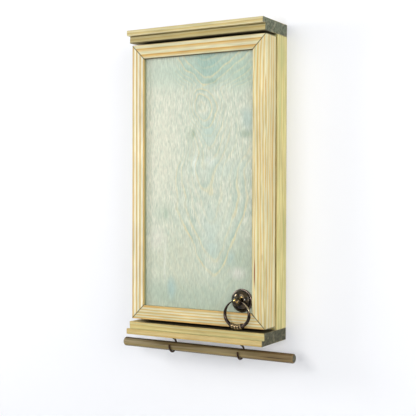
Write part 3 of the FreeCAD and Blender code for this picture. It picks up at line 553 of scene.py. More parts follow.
    @staticmethod
    def _near(tree: bpy.types.NodeTree, bent: bpy.types.Node, middle: tuple[float, float],
              half: tuple[float, float]) -> bpy.types.NodeSocket:
        """Measures how far a place is from an oval's middle.

        Args:
            tree: The node tree.
            bent: The place in millimetres, bent with the figure.
            middle: The oval's middle, across and up.
            half: Its half width and half height.

        Returns:
            The distance, where 1 is on the oval.
        """
        away = add_node(tree, "VectorMath", {0: bent, 1: (middle[0], 0, middle[1])}, operation="SUBTRACT")
        scaled = add_node(tree, "VectorMath", {0: away, 1: (1 / half[0], 0, 1 / half[1])}, operation="MULTIPLY")
        return add_node(tree, "VectorMath", {0: scaled}, operation="LENGTH").outputs["Value"]

    def _read_down(self, tree: bpy.types.NodeTree, height: Source, what: Figure) -> bpy.types.Node:
        """Reads one column of the figure, smooth between the heights of the table.

        Args:
            tree: The node tree.
            height: The height to read it at.
            what: The column.

        Returns:
            The value at that height.
        """
        levels = [row[0] for row in self.figure]
        values = [row[what.value] for row in self.figure]
        low, span = min(values), max(values) - min(values)
        place = add_node(tree, "MapRange", {0: height, 1: levels[0], 2: levels[-1]})
        curve = add_node(tree, "FloatCurve", {1: place})
        points = curve.mapping.curves[0].points
        for number, (level, value) in enumerate(zip(levels, values)):
            spot = ((level - levels[0]) / (levels[-1] - levels[0]), (value - low) / span)
            if number in (0, len(levels) - 1):
                points[0 if number == 0 else -1].location = spot
            else:
                points.new(*spot)
        curve.mapping.update()
        return add_node(tree, "Math", {0: curve, 1: span, 2: low}, operation="MULTIPLY_ADD")

    def _layers(self, tree: bpy.types.NodeTree, bent: bpy.types.Node) -> tuple[Source, Source]:
        """Lays the growth layers.

        Args:
            tree: The node tree.
            bent: The place in millimetres, bent with the figure.

        Returns:
            How blue a place is, and how much of a cream line it holds.
        """
        axes = add_node(tree, "SeparateXYZ", {0: bent})
        layers, middle, left, right = (self._read_down(tree, axes.outputs[2], what) for what in Figure)
        aside = add_node(tree, "Math", {0: axes.outputs[0], 1: middle}, operation="SUBTRACT")
        foot = self.round_foot
        side = add_node(tree, "MapRange", {0: aside, 1: -foot, 2: foot, 3: left, 4: right},
                        interpolation_type="SMOOTHSTEP")
        # A layer falls away from the middle as a hyperbola does: round at its foot, straight further out.
        square = add_node(tree, "Math", {0: aside, 1: aside, 2: foot ** 2}, operation="MULTIPLY_ADD")
        root = add_node(tree, "Math", {0: square}, operation="SQRT")
        away = add_node(tree, "Math", {0: root, 1: foot}, operation="SUBTRACT")
        drop = add_node(tree, "Math", {0: away, 1: side}, operation="DIVIDE")
        fallen = add_node(tree, "Math", {0: layers, 1: drop}, operation="SUBTRACT")
        stray = grain_noise(tree, bent, self.stray_size, 4)
        strayed = add_node(tree, "Math", {0: stray, 1: self.stray, 2: fallen}, operation="MULTIPLY_ADD")
        level = add_node(tree, "Math", {0: strayed, 1: self.first_layer}, operation="SUBTRACT")
        within = add_node(tree, "Math", {0: level}, operation="FRACT")
        number = add_node(tree, "Math", {0: level}, operation="FLOOR")
        count = len(self.strengths)
        # The ramp has one step for each layer, and its greys undo the step from sRGB to linear.
        step = add_node(tree, "Math", {0: number, 1: 1 / count, 2: 1.5 / count}, operation="MULTIPLY_ADD")
        greys = ["%02x" % round(255 * share ** 0.45) * 3 for share in self.strengths]
        drawn = add_node(tree, "ValToRGB", {0: step}, stops=[(n / count, grey) for n, grey in enumerate(greys)])
        drawn.color_ramp.interpolation = "CONSTANT"
        fade = grain_noise(tree, bent, self.fade_size, 2)
        some = add_node(tree, "MapRange", {0: fade, 1: 0.36, 2: 0.6, 3: 0.35, 4: 1.0})
        near = add_node(tree, "MapRange", {0: drop, 1: 3.2, 2: 6.5, 3: 1.0, 4: 0.12})
        shown: Source = drawn
        for share in (some, near):
            shown = add_node(tree, "Math", {0: shown, 1: share}, operation="MULTIPLY")
        # Red holds the blue band across one layer, green its cream line.
        bands = add_node(tree, "SeparateColor", {0: add_node(tree, "ValToRGB", {0: within}, stops=(
            (0.0, "000000"), (0.05, "00f000"), (0.21, "00f000"), (0.33, "e80000"), (0.55, "a80000"),
            (0.92, "000000")))})
        return tuple(add_node(tree, "Math", {0: bands.outputs[n], 1: shown}, operation="MULTIPLY") for n in (0, 1))


@dataclass(frozen=True)
class WearAndHighlight:
    """A spot or a shell of another colour, for rubbed patina and for painted highlights and reflections.

    It reaches from the inner to the outer distance round its centre, in millimetres. Axes that aren't counted
    make it a tube instead of a ball.
    """

    centre: Place
    counted: Place
    inner: float
    outer: float
    colour: str
    share: float


@dataclass(frozen=True)
class PatinatedMetal:
    """Cast, pressed or drawn metal with a patina, rubbed brighter in patches and where it is touched most, and
    with any painted highlights and reflections that its spots and shells hold.
    """

    name: str
    dark: str
    rubbed: str
    rough: float = 0.3
    share: float = 0.5
    # The patches are a few millimetres wide. The pits are some 0.1 mm wide, drawn at 0.7 mm to show.
    speck: float = 1.6
    lacquer: float = 0.0
    grit: float = 0.2
    wear_and_highlights: tuple[WearAndHighlight, ...] = ()

    def material(self) -> bpy.types.Material:
        """Builds the metal's material.

        Returns:
            The material.
        """
        material, tree = new_material(self.name)
        coordinates = add_node(tree, "TexCoord")
        here = add_node(tree, "VectorMath", {0: coordinates.outputs["Object"], 1: (1 / (self.speck * MM),) * 3},
                        operation="MULTIPLY")
        patch = add_node(tree, "TexNoise", {"Vector": here, "Scale": 0.35, "Detail": 4.0})
        pits = add_node(tree, "TexNoise", {"Vector": here, "Scale": 2.4, "Detail": 2.0})
        mask = add_node(tree, "MapRange", {0: patch, 1: 0.42, 2: 0.72, 3: 0.0, 4: self.share})
        colour = add_node(tree, "Mix", {"Factor": mask, "A": linear(self.dark), "B": linear(self.rubbed)},
                          data_type="RGBA")
        # Rubbed spots and shells, and painted highlights and reflections.
        for shell in self.wear_and_highlights:
            from_centre = add_node(tree, "VectorMath", {0: coordinates.outputs["Object"],
                                                        1: tuple(value * MM for value in shell.centre)},
                                   operation="SUBTRACT")
            counted = add_node(tree, "VectorMath", {0: from_centre, 1: shell.counted}, operation="MULTIPLY")
            away = add_node(tree, "VectorMath", {0: counted}, operation="LENGTH").outputs["Value"]
            middle, half = (shell.inner + shell.outer) / 2 * MM, (shell.outer - shell.inner) / 2 * MM
            inside = add_node(tree, "Math", {0: away, 1: middle, 2: half}, operation="COMPARE")
            share = add_node(tree, "Math", {0: inside, 1: shell.share}, operation="MULTIPLY")
            colour = add_node(tree, "Mix", {"Factor": share, "A": colour.outputs["Result"],
                                            "B": linear(shell.colour)}, data_type="RGBA")
        rough = add_node(tree, "MapRange", {0: patch, 1: 0.3, 2: 0.7, 3: self.rough + 0.1, 4: self.rough - 0.06})
        bump = add_node(tree, "Bump", {"Strength": self.grit, "Distance": 0.05 * MM, "Height": pits})
        shader = add_node(tree, "BsdfPrincipled", {"Base Color": colour.outputs["Result"], "Metallic": 1.0,
                                                   "Roughness": rough, "Normal": bump,
                                                   "Coat Weight": self.lacquer, "Coat Roughness": 0.07})
        close_material(tree, shader)
        return material


# Brass, cast, dipped dark in a patina bath, buffed and lacquered: nearly black, with sharp highlights. It is
# rubbed a little brighter on the ball. The paler band on the flange's rim is rubbed and also a painted
# reflection, and three small golden spots, two on the ball and one on the crown, are painted highlights.
ANTIQUE_BRONZE = PatinatedMetal(
    "antique_bronze", "17120b", "5e4c2a", rough=0.12, share=0.6, lacquer=0.4, grit=0.03, wear_and_highlights=(
        # The rim band is rubbed and also a painted reflection; the last three spots are painted highlights.
        WearAndHighlight((64.7, 0, -311.6), (1, 0, 1), 13.1, 14.8, "73645c", 0.75),
        WearAndHighlight((64.7, -65, -311.6), (1, 1, 1), 5.0, 5.8, "54421f", 0.2),
        WearAndHighlight((63.6, -69.7, -308.9), (1, 1, 1), 0.0, 1.5, "cfae68", 0.85),
        WearAndHighlight((67.4, -69.8, -311.9), (1, 1, 1), 0.0, 1.1, "b8934a", 0.8),
        WearAndHighlight((67.3, -58.5, -307.5), (1, 1, 1), 0.0, 1.7, "cfae68", 0.8)))
# The ring has the same finish, but hands have dulled its lacquer and turned it a shade redder.
RING_BRONZE = PatinatedMetal("ring_bronze", "1d1713", "5e4e45", rough=0.15, share=0.55, lacquer=0.12, grit=0.04)
# Steel wire, drawn, bent cold and bronzed in a bath: dark brown with soft, broad highlights.
HOOK_STEEL = PatinatedMetal("bronzed_wire", "3a2c22", "6b5138", rough=0.38, share=0.4)
# Brass, pressed or drawn and left bare: golden, with brown tarnish in patches.
AGED_BRASS = PatinatedMetal("aged_brass", "8a6c38", "c3a05a", rough=0.3, share=0.8)
# Mild steel, barrel-plated with zinc: pale grey, softly mottled.
ZINC_STEEL = PatinatedMetal("zinc_steel", "8f9190", "c4c6c4", rough=0.32, share=0.8)
# A sintered magnet, nickel-plated: a smooth and faintly warm mirror.
NICKEL = PatinatedMetal("nickel_plate", "a9a8a2", "d0cfca", rough=0.2, share=0.6)


# Shaping, as by hand in edit mode

class Element(Enum):
    """What edit mode selects."""

    VERT = "verts"
    EDGE = "edges"


class Axis(Enum):
    """The line that a turned piece is turned round: its direction, and the turn that a flat disc needs."""

    X = ((1, 0, 0), (0, 90, 0))
    Y = ((0, 1, 0), (90, 0, 0))
    Z = ((0, 0, 1), (0, 0, 0))


def take(piece: bpy.types.Object) -> None:
    """Selects one piece alone and makes it the active one.

    Args:
        piece: The piece.
    """
    bpy.ops.object.select_all(action="DESELECT")
    bpy.context.view_layer.objects.active = piece
    piece.select_set(True)


@contextmanager
def editing(piece: bpy.types.Object) -> Iterator[None]:
    """Opens a piece in edit mode with nothing selected, and closes it again.

    Args:
        piece: The piece.

    Yields:
        Nothing, while the piece is open.
    """
    take(piece)
    bpy.ops.object.mode_set(mode="EDIT")
    bpy.ops.mesh.select_all(action="DESELECT")
    yield
    bpy.ops.object.mode_set(mode="OBJECT")


def pick(piece: bpy.types.Object, kind: Element, test: Callable[[object], bool]) -> int:
    """Selects the elements of a piece in edit mode that pass a test, and only those.

    Args:
        piece: The piece, in edit mode.
        kind: Which elements.
        test: Says whether an element is selected.

    Returns:
        How many were selected.
    """
    bpy.ops.mesh.select_mode(type=kind.name)
    bpy.ops.mesh.select_all(action="DESELECT")
    mesh = bmesh.from_edit_mesh(piece.data)
    chosen = [element for element in getattr(mesh, kind.value) if test(element)]
    for element in chosen:
        element.select_set(True)
    mesh.select_flush_mode()
    bmesh.update_edit_mesh(piece.data)
    return len(chosen)


def settle(piece: bpy.types.Object) -> None:
    """Puts a piece's place and turn into its mesh."""
    take(piece)
    bpy.ops.object.transform_apply(location=True, rotation=True, scale=True)


def add_disc(name: str, axis: Axis, centre: Place, radius: float, sides: int,
             filled: bool = True) -> bpy.types.Object:
    """Adds a disc or a plain ring of edges to start a piece from.

    Args:
        name: The piece's name.
        axis: The disc's axis.
        centre: Its middle, in millimetres.
        radius: Its radius, in millimetres.
        sides: How many sides it has.
        filled: Whether it is filled.

    Returns:
        The new piece.
    """
    bpy.ops.object.select_all(action="DESELECT")
    bpy.ops.mesh.primitive_circle_add(
        vertices=sides, radius=radius * MM, fill_type="NGON" if filled else "NOTHING",
        location=Vector(centre) * MM, rotation=[math.radians(angle) for angle in axis.value[1]])
    piece = bpy.context.object
    piece.name = piece.data.name = name
    settle(piece)
    return piece


def turned(name: str, axis: Axis, centre: Place, profile: Sequence[tuple[float, float]],
           sides: int = 56) -> bpy.types.Object:
    """Turns a piece as on a lathe: a disc is drawn out along its axis and narrowed or widened step by step.

    Args:
        name: The piece's name.
        axis: The axis of the lathe.
        centre: A point of the axis, in millimetres.
        profile: Places along the axis from that point, each with its radius.
        sides: How many sides the piece has round its axis.

    Returns:
        The new piece.
    """
    along = Vector(axis.value[0])
    place, radius = profile[0]
    piece = add_disc(name, axis, Vector(centre) + along * place, radius, sides)
    with editing(piece):
        bpy.ops.mesh.select_mode(type="FACE")
        bpy.ops.mesh.select_all(action="SELECT")
        for next_place, next_radius in profile[1:]:
            bpy.ops.mesh.extrude_region_move(TRANSFORM_OT_translate={"value": along * (next_place - place) * MM})
            bpy.ops.transform.resize(value=(next_radius / radius,) * 3,
                                     center_override=(Vector(centre) + along * next_place) * MM)
            place, radius = next_place, next_radius
        bpy.ops.mesh.select_all(action="SELECT")
        bpy.ops.mesh.normals_make_consistent(inside=False)
    return piece


def arc(start: tuple[float, float], end: tuple[float, float], radius: float,
        steps: int) -> list[tuple[float, float]]:
    """Points of a profile's arc, without its start, that bulges away from the lathe's axis.

    Args:
        start: Place along the axis and radius where it starts.
        end: Where it ends.
        radius: The arc's own radius, negative for a hollow.
        steps: How many points.

    Returns:
        The points, up to its end.
    """
    a, b = Vector(start), Vector(end)
    half = (b - a) / 2
    across = Vector((-half.y, half.x)).normalized()
    if across.y > 0 and radius > 0 or across.y < 0 and radius < 0:
        across = -across
    centre = a + half + across * math.sqrt(max(radius ** 2 - half.length_squared, 0))
    first = math.atan2(*(a - centre).yx)
    sweep = math.atan2(*(b - centre).yx) - first
    sweep = (sweep + math.pi) % (2 * math.pi) - math.pi
    return [tuple(centre + Vector((math.cos(first + sweep * n / steps), math.sin(first + sweep * n / steps)))
                  * abs(radius)) for n in range(1, steps + 1)]


def eased_rod(half: float, radius: float, ease: float, steps: int) -> list[tuple[float, float]]:
    """Gives the profile of a short rod with rounded ends.

    Args:
        half: Half its length.
        radius: Its radius.
        ease: The rounding's radius.
        steps: How many points each rounding has.

    Returns:
        The profile, for turned.
    """
    profile = [(-half, radius - ease)]
    profile += arc(profile[-1], (-half + ease, radius), ease, steps)
    profile += [(half - ease, radius)]
    return profile + arc(profile[-1], (half, radius - ease), ease, steps)


def close_ends() -> None:
    """Fills the open ends of a swept piece that is in edit mode, and turns all its faces outwards."""
    bpy.ops.mesh.select_mode(type="EDGE")
    bpy.ops.mesh.select_all(action="DESELECT")
    bpy.ops.mesh.select_non_manifold()
    bpy.ops.mesh.fill_holes(sides=0)
    bpy.ops.mesh.select_all(action="SELECT")
    bpy.ops.mesh.normals_make_consistent(inside=False)


def smooth(piece: bpy.types.Object, angle: float = 35.0) -> None:
    """Shades a piece smooth, and keeps the edges that are sharper than an angle in degrees."""
    take(piece)
    bpy.ops.object.shade_smooth_by_angle(angle=math.radians(angle))


def finish_piece(piece: bpy.types.Object, body: str, node: str, material: bpy.types.Material) -> None:
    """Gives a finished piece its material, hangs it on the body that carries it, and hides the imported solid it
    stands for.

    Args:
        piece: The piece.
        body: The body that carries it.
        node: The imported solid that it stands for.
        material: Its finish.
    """
    piece.data.materials.clear()
    piece.data.materials.append(material)
    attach(piece, body)
    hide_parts(node)
    log.info("%s: %d faces", piece.name, len(piece.data.polygons))


def eased_copy(node: str, body: str, material: bpy.types.Material, offset: float = 0.4,
               shortest: float = 5.0) -> bpy.types.Object:
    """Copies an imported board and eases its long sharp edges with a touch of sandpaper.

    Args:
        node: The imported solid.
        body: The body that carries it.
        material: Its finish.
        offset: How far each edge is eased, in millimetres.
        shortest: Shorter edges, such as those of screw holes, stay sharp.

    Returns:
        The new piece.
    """
    piece = bpy.data.objects.new(node + "_eased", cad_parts[node].data.copy())
    bpy.context.scene.collection.objects.link(piece)
    with editing(piece):
        bpy.ops.mesh.select_all(action="SELECT")
        bpy.ops.mesh.remove_doubles(threshold=1e-6)
        bpy.ops.mesh.dissolve_limited(angle_limit=math.radians(0.5))
        pick(piece, Element.EDGE, lambda edge: edge.is_manifold and edge.calc_length() > shortest * MM
             and edge.is_convex and edge.calc_face_angle(0.0) > math.radians(40))
        bpy.ops.mesh.bevel(offset=offset * MM, segments=2, affect="EDGES", clamp_overlap=False)
    smooth(piece)
    finish_piece(piece, body, node, material)
    return piece


# Camera, light and stage

def seen_directly(tree: bpy.types.NodeTree, path: bpy.types.Node) -> bpy.types.Node:
    """Tells what is looked at from what only lights a surface.

    Args:
        tree: The node tree.
        path: Its Light Path node.

    Returns:
        1 for what the camera, a reflection or a clear part sees, and 0 for the rest.
    """
    seen: Source = path.outputs["Is Camera Ray"]
    for ray in ("Is Glossy Ray", "Is Transmission Ray"):
        seen = add_node(tree, "Math", {0: seen, 1: path.outputs[ray]}, operation="MAXIMUM")
    return seen


@dataclass
class Studio:
    """A camera at the photograph's angle, soft light, and a pale wall and floor."""

    camera_place: Place = (599.39, -1040.81, -175.62)
    yaw: float = 30.586
    pitch: float = -1.019
    roll: float = 0.144
    focal_pixels: float = 897.3
    picture_pixels: float = 416.0
    sensor: float = 36.0

    def build(self) -> None:
        """Sets up the camera, the lamps, the world and the stage."""
        self._camera()
        self._world()
        body, pull = (0, 0, -150), (64, -55, -312)
        self._lamp("key_light", (-500, -1945, 420), body, 900, 12.2)
        self._lamp("fill_light", (1500, -1000, 200), (0, 0, -180), 1200, 14.0)
        # Three small windows stand where the pull's round metal shows its highlights.
        self._lamp("left_window", (-940, -560, 60), pull, 260, 4.2)
        self._lamp("front_window", (183, -1850, -213), pull, 260, 5.4)
        self._lamp("right_window", (1180, -300, 290), pull, 240, 2.6)
        self._lamp("back_light", (-700, 1700, 500), body, 900, 14.0)
        self._stage()
        bpy.context.scene.view_settings.view_transform = "Standard"
        log.info("studio ready")

    def _camera(self) -> None:
        """Places the camera of the photograph."""
        data = bpy.data.cameras.new("photo_camera")
        data.sensor_width = self.sensor
        data.lens = self.focal_pixels / self.picture_pixels * self.sensor
        data.clip_start, data.clip_end = 0.01, 50.0
        camera = bpy.data.objects.new("photo_camera", data)
        turn = Euler((math.radians(90 + self.pitch), 0, math.radians(self.yaw))).to_matrix()
        turn = turn @ Matrix.Rotation(math.radians(self.roll), 3, "Z")
        camera.matrix_world = Matrix.Translation(Vector(self.camera_place) * MM) @ turn.to_4x4()
        bpy.context.scene.collection.objects.link(camera)
        bpy.context.scene.camera = camera

    def _lamp(self, name: str, place: Place, target: Place, size: float, power: float) -> None:
        """Adds one soft square lamp.

        Args:
            name: The lamp's name.
            place: Where it stands, in millimetres.
            target: What it looks at.
            size: Its side, in millimetres.
            power: Its power in watts.
        """
        data = bpy.data.lights.new(name, "AREA")
        data.shape = "SQUARE"
        data.size = size * MM
        data.energy = power
        lamp = bpy.data.objects.new(name, data)
        lamp.location = Vector(place) * MM
        lamp.rotation_euler = (Vector(target) - Vector(place)).to_track_quat("-Z", "Y").to_euler()
        bpy.context.scene.collection.objects.link(lamp)

    @staticmethod
    def _world() -> None:
        """Even pale light all round, seen as white."""
        world = bpy.data.worlds.new("studio_world")
        bpy.context.scene.world = world
        world.use_nodes = True
        tree = world.node_tree
        tree.nodes.clear()
        path = add_node(tree, "LightPath")
        strength = add_node(tree, "MapRange", {0: seen_directly(tree, path), 3: 0.3, 4: 1.0})
        shine = add_node(tree, "Background", {"Color": (1, 1, 1, 1), "Strength": strength})
        add_node(tree, "OutputWorld", {"Surface": shine})

    def _stage(self) -> None:
        """A pale wall behind the cabinet, open from its back, and a pale floor well below."""
        self._plane("wall", (0, 0.6, -150), 90, 0.17)
        self._plane("floor", (0, -1500, -1400), 0, 0.5)

    @staticmethod
    def _plane(name: str, place: Place, turn: float, glow: float) -> None:
        """Adds one stage plane that is clear from behind.

        Args:
            name: The plane's name.
            place: Its middle, in millimetres.
            turn: Its turn about the X axis, in degrees.
            glow: Light of its own, so that it stays pale where the lamps hardly reach.
        """
        material, tree = new_material("studio_white_" + name)
        path = add_node(tree, "LightPath")
        strength = add_node(tree, "Math", {0: seen_directly(tree, path), 1: glow}, operation="MULTIPLY")
        paint = add_node(tree, "BsdfDiffuse", {"Color": linear("e4e4e4")})
        shine = add_node(tree, "Emission", {"Color": linear("dfe8ff"), "Strength": strength})
        front = add_node(tree, "AddShader", {0: paint, 1: shine})
        # Rays that start just in front of the plane pass too, so the back lamp reaches the cabinet's back.
        close = add_node(tree, "Math", {0: path.outputs["Ray Length"], 1: 1.5 * MM}, operation="LESS_THAN")
        behind = add_node(tree, "NewGeometry").outputs["Backfacing"]
        share = add_node(tree, "Math", {0: behind, 1: close}, operation="MAXIMUM")
        clear = add_node(tree, "BsdfTransparent")
        close_material(tree, add_node(tree, "MixShader", {0: share, 1: front, 2: clear}))
        bpy.ops.mesh.primitive_plane_add(size=7.0, location=Vector(place) * MM,
                                         rotation=(math.radians(turn), 0, 0))
        plane = bpy.context.object
        plane.name = name
        plane.data.materials.append(material)


# The cabinet

# Beech, turned to rods with a satin finish: warm, pinkish and even, with fine close rings.
BEECH = dict(cream="dcc19a", tan="d2b082", deep="c49a68", green_share=0.0, end="a8845a", ring=1.6)


def dress(node: str, material: bpy.types.Material) -> None:
    """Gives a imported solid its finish.

    Args:
        node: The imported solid.
        material: Its finish.
    """
    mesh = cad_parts[node].data
    mesh.materials.clear()
    mesh.materials.append(material)
    log.info("%s dressed", node)


@dataclass
class Carcass:
    """The shallow case: two stepped boards, two sides, a thin back, and what hangs and stands inside."""

    ease: float = 0.8
    # Pine boards, moulded and planed: broad green and tan stripes. On the top board the marks are painted shade,
    # a dark line under the nosing, a darker tint over the step and a dark line at its foot, and a painted
    # highlight, the paler lower edge of the nosing. On the bottom board they are a more orange lower front and a
    # darker green line where the step meets the nosing. Those on the right side are a brown line along the door's
    # gap, painted shade, and two greener patches. The faces inside the door's gap are painted near black as shade.
    boards: tuple[StainedPine, ...] = (
        StainedPine("pine_top_board", Grain.ACROSS, (-90, 60), 5.2, 0.1, 3.0, cream="cfc396", tan="c2ad73",
                    deep="ae9354", green="9a9c68", green_share=0.4, gap_shade_levels=(22.0,), marks=(
                        # Painted shade under the nosing, over the step and at its foot, and a painted highlight on
                        # the nosing's lower edge.
                        Mark((30.4, -61.5, 0), (1.15, 1.8, 400), "453e1f", 0.85),
                        Mark((26.0, -61.5, 0), (7.0, 2.0, 400), "948346", 0.5),
                        Mark((22.4, -61.5, 0), (0.9, 0.9, 400), "3a331d", 0.8),
                        Mark((31.2, -68.4, 0), (0.6, 1.0, 400), "e0d7b2", 0.7))),
        StainedPine("pine_bottom_board", Grain.ACROSS, (-520, 40), 4.4, 0.3, 3.0, cream="d2c691", tan="c6b074",
                    deep="c29c5a", green="a9a96c", green_share=0.7, shade=0.91, end="424131", end_dry="6c694f",
                    gap_shade_levels=(-348.9,), marks=(Mark((-361.6, -68.4, 0), (5.0, 3.0, 400), "c8a05e", 0.35),
                                                 Mark((-357.7, -62.0, 0), (0.7, 1.5, 400), "98985e", 0.5))),
        StainedPine("pine_side_left", Grain.UPRIGHT, (-150, -120), 4.4, 0.0, 4.0, cream="dcd49c", tan="d3c380",
                    deep="c3a656", green="a8b074", green_share=0.8),
        StainedPine("pine_side_right", Grain.UPRIGHT, (30, -130), 4.4, 0.0, 4.0, cream="dcd49c", tan="d3c380",
                    deep="c3a656", green="a8b074", green_share=0.8, marks=(
                        # A brown line along the door's gap, painted shade.
                        Mark((101, -28, -160), (2.0, 0.8, 900), "a37c36", 0.6),
                        Mark((101, -14, -4), (6, 13, 26), "b3b57c", 0.5),
                        Mark((101, -20, -70), (3, 5, 40), "b9bc80", 0.5))))
    # The same pine inside, and birch plywood at the back: wide, soft waves of the peeled face.
    inside: tuple[StainedPine, ...] = (
        StainedPine("pine_hanging_rail", Grain.ACROSS, (40, 30), 4.0),
        StainedPine("pine_shelf", Grain.ACROSS, (-250, 60), 4.0),
        StainedPine("pine_shelf_lip", Grain.ACROSS, (-240, -60), 3.0),
        StainedPine("birch_back_panel", Grain.UPRIGHT, (10, 240), 9.0, 0.0, 16.0, cream="e0d2ae", tan="d8c496",
                    deep="ccb182", green_share=0.1, end="9c8458"))

    def build(self) -> None:
        """Eases and dresses the boards, then dresses what is inside."""
        for node, finish in zip(("top_board", "bottom_board", "side_left", "side_right"), self.boards):
            eased_copy(node, "case", finish.material(), self.ease)
        for node, finish in zip(("hanging_rail", "ring_shelf", "shelf_lip", "back_panel"), self.inside):
            dress(node, finish.material())
        dowels = StainedPine("beech_dowels", Grain.UPRIGHT, (0, 60), **BEECH).material()
        dress("joint_dowels", dowels)
        rods = StainedPine("beech_rods", Grain.ACROSS, (-60, 20), **BEECH).material()
        for place in ("upper", "middle", "lower"):
            dress("earring_rod_" + place, rods)


@dataclass
class Door:
    """The door: four mitred members round a washed plywood panel, held by beads from behind."""

    ease: float = 0.35
    # Pine, sawn so that the rings stand square to the face: straight cream and amber stripes. The marks are
    # a pitch streak, an amber one, two small dents, a brown line along the door's gap that is painted shade, a
    # dark line along the top rail's lower edge that is painted shade, and amber lines along the bottom rail's
    # edges.
    # The rails' end faces inside the gap are painted near black as shade.
    members: tuple[StainedPine, ...] = (
        StainedPine("pine_stile_left", Grain.UPRIGHT, (60, -80), 5.5, 0.6, 0.5, mitred=True, uneven=0.0,
                    weakest=0.85, shade=0.96, cream="e8e5cc", tan="d5b46e", deep="bd9148"),
        StainedPine("pine_stile_right", Grain.UPRIGHT, (190, -100), 3.5, 0.0, 5.5, mitred=True, uneven=0.9,
                    weakest=0.35, cream="dcd5ae", tan="d6b873", deep="c6974c", green_share=0.5, marks=(
                        # A brown line along the door's gap, painted shade.
                        Mark((100.0, -30.0, -160), (2.0, 0.8, 900), "b0853a", 0.4),
                        Mark((85.0, -57.3, -276), (1.3, 2.0, 25), "8a5426", 0.95),
                        Mark((99.6, -57.3, -47), (0.9, 1.4, 20), "b8833c", 0.7),
                        Mark((89.9, -57.3, -243), (0.6, 1.0, 8), "8a7a4a", 0.7),
                        Mark((95.5, -57.3, -256.6), (0.6, 1.0, 7), "8a7a4a", 0.7))),
        StainedPine("pine_rail_top", Grain.ACROSS, (-120, -90), 7.6, 0.65, 1.0, mitred=True, uneven=0.0,
                    weakest=0.8, cream="d4cda9", tan="cdab66", deep="ba8d44", gap_shade_levels=(19.4,),
                    # A dark line along the lower edge, painted shade.
                    marks=(Mark((1.0, -57.3, 0), (0.7, 1.2, 400), "6e6236", 0.6),)),
        StainedPine("pine_rail_bottom", Grain.ACROSS, (-520, -120), 3.5, 0.0, 1.0, mitred=True, uneven=0.2,
                    weakest=0.6, shade=0.92, cream="dbd5b0", gap_shade_levels=(-345.2,), marks=(
                        Mark((-344.6, -57.3, 0), (0.9, 1.6, 400), "d89c3c", 0.7),
                        Mark((-327.0, -57.3, 0), (0.9, 1.6, 400), "cf9c48", 0.8))))

    def build(self) -> None:
        """Eases and dresses the members and dresses the panel and beads."""
        names = ("door_stile_left", "door_stile_right", "door_rail_top", "door_rail_bottom")
        for node, finish in zip(names, self.members):
            eased_copy(node, "door", finish.material(), self.ease)
        dress("door_panel", WashedVeneer().material())
        upright = StainedPine("pine_beads_upright", Grain.UPRIGHT, (-60, -80), 3.0).material()
        across = StainedPine("pine_beads_across", Grain.ACROSS, (30, -80), 3.0).material()
        for place, material in (("left", upright), ("right", upright), ("top", across), ("bottom", across)):
            dress("panel_bead_" + place, material)


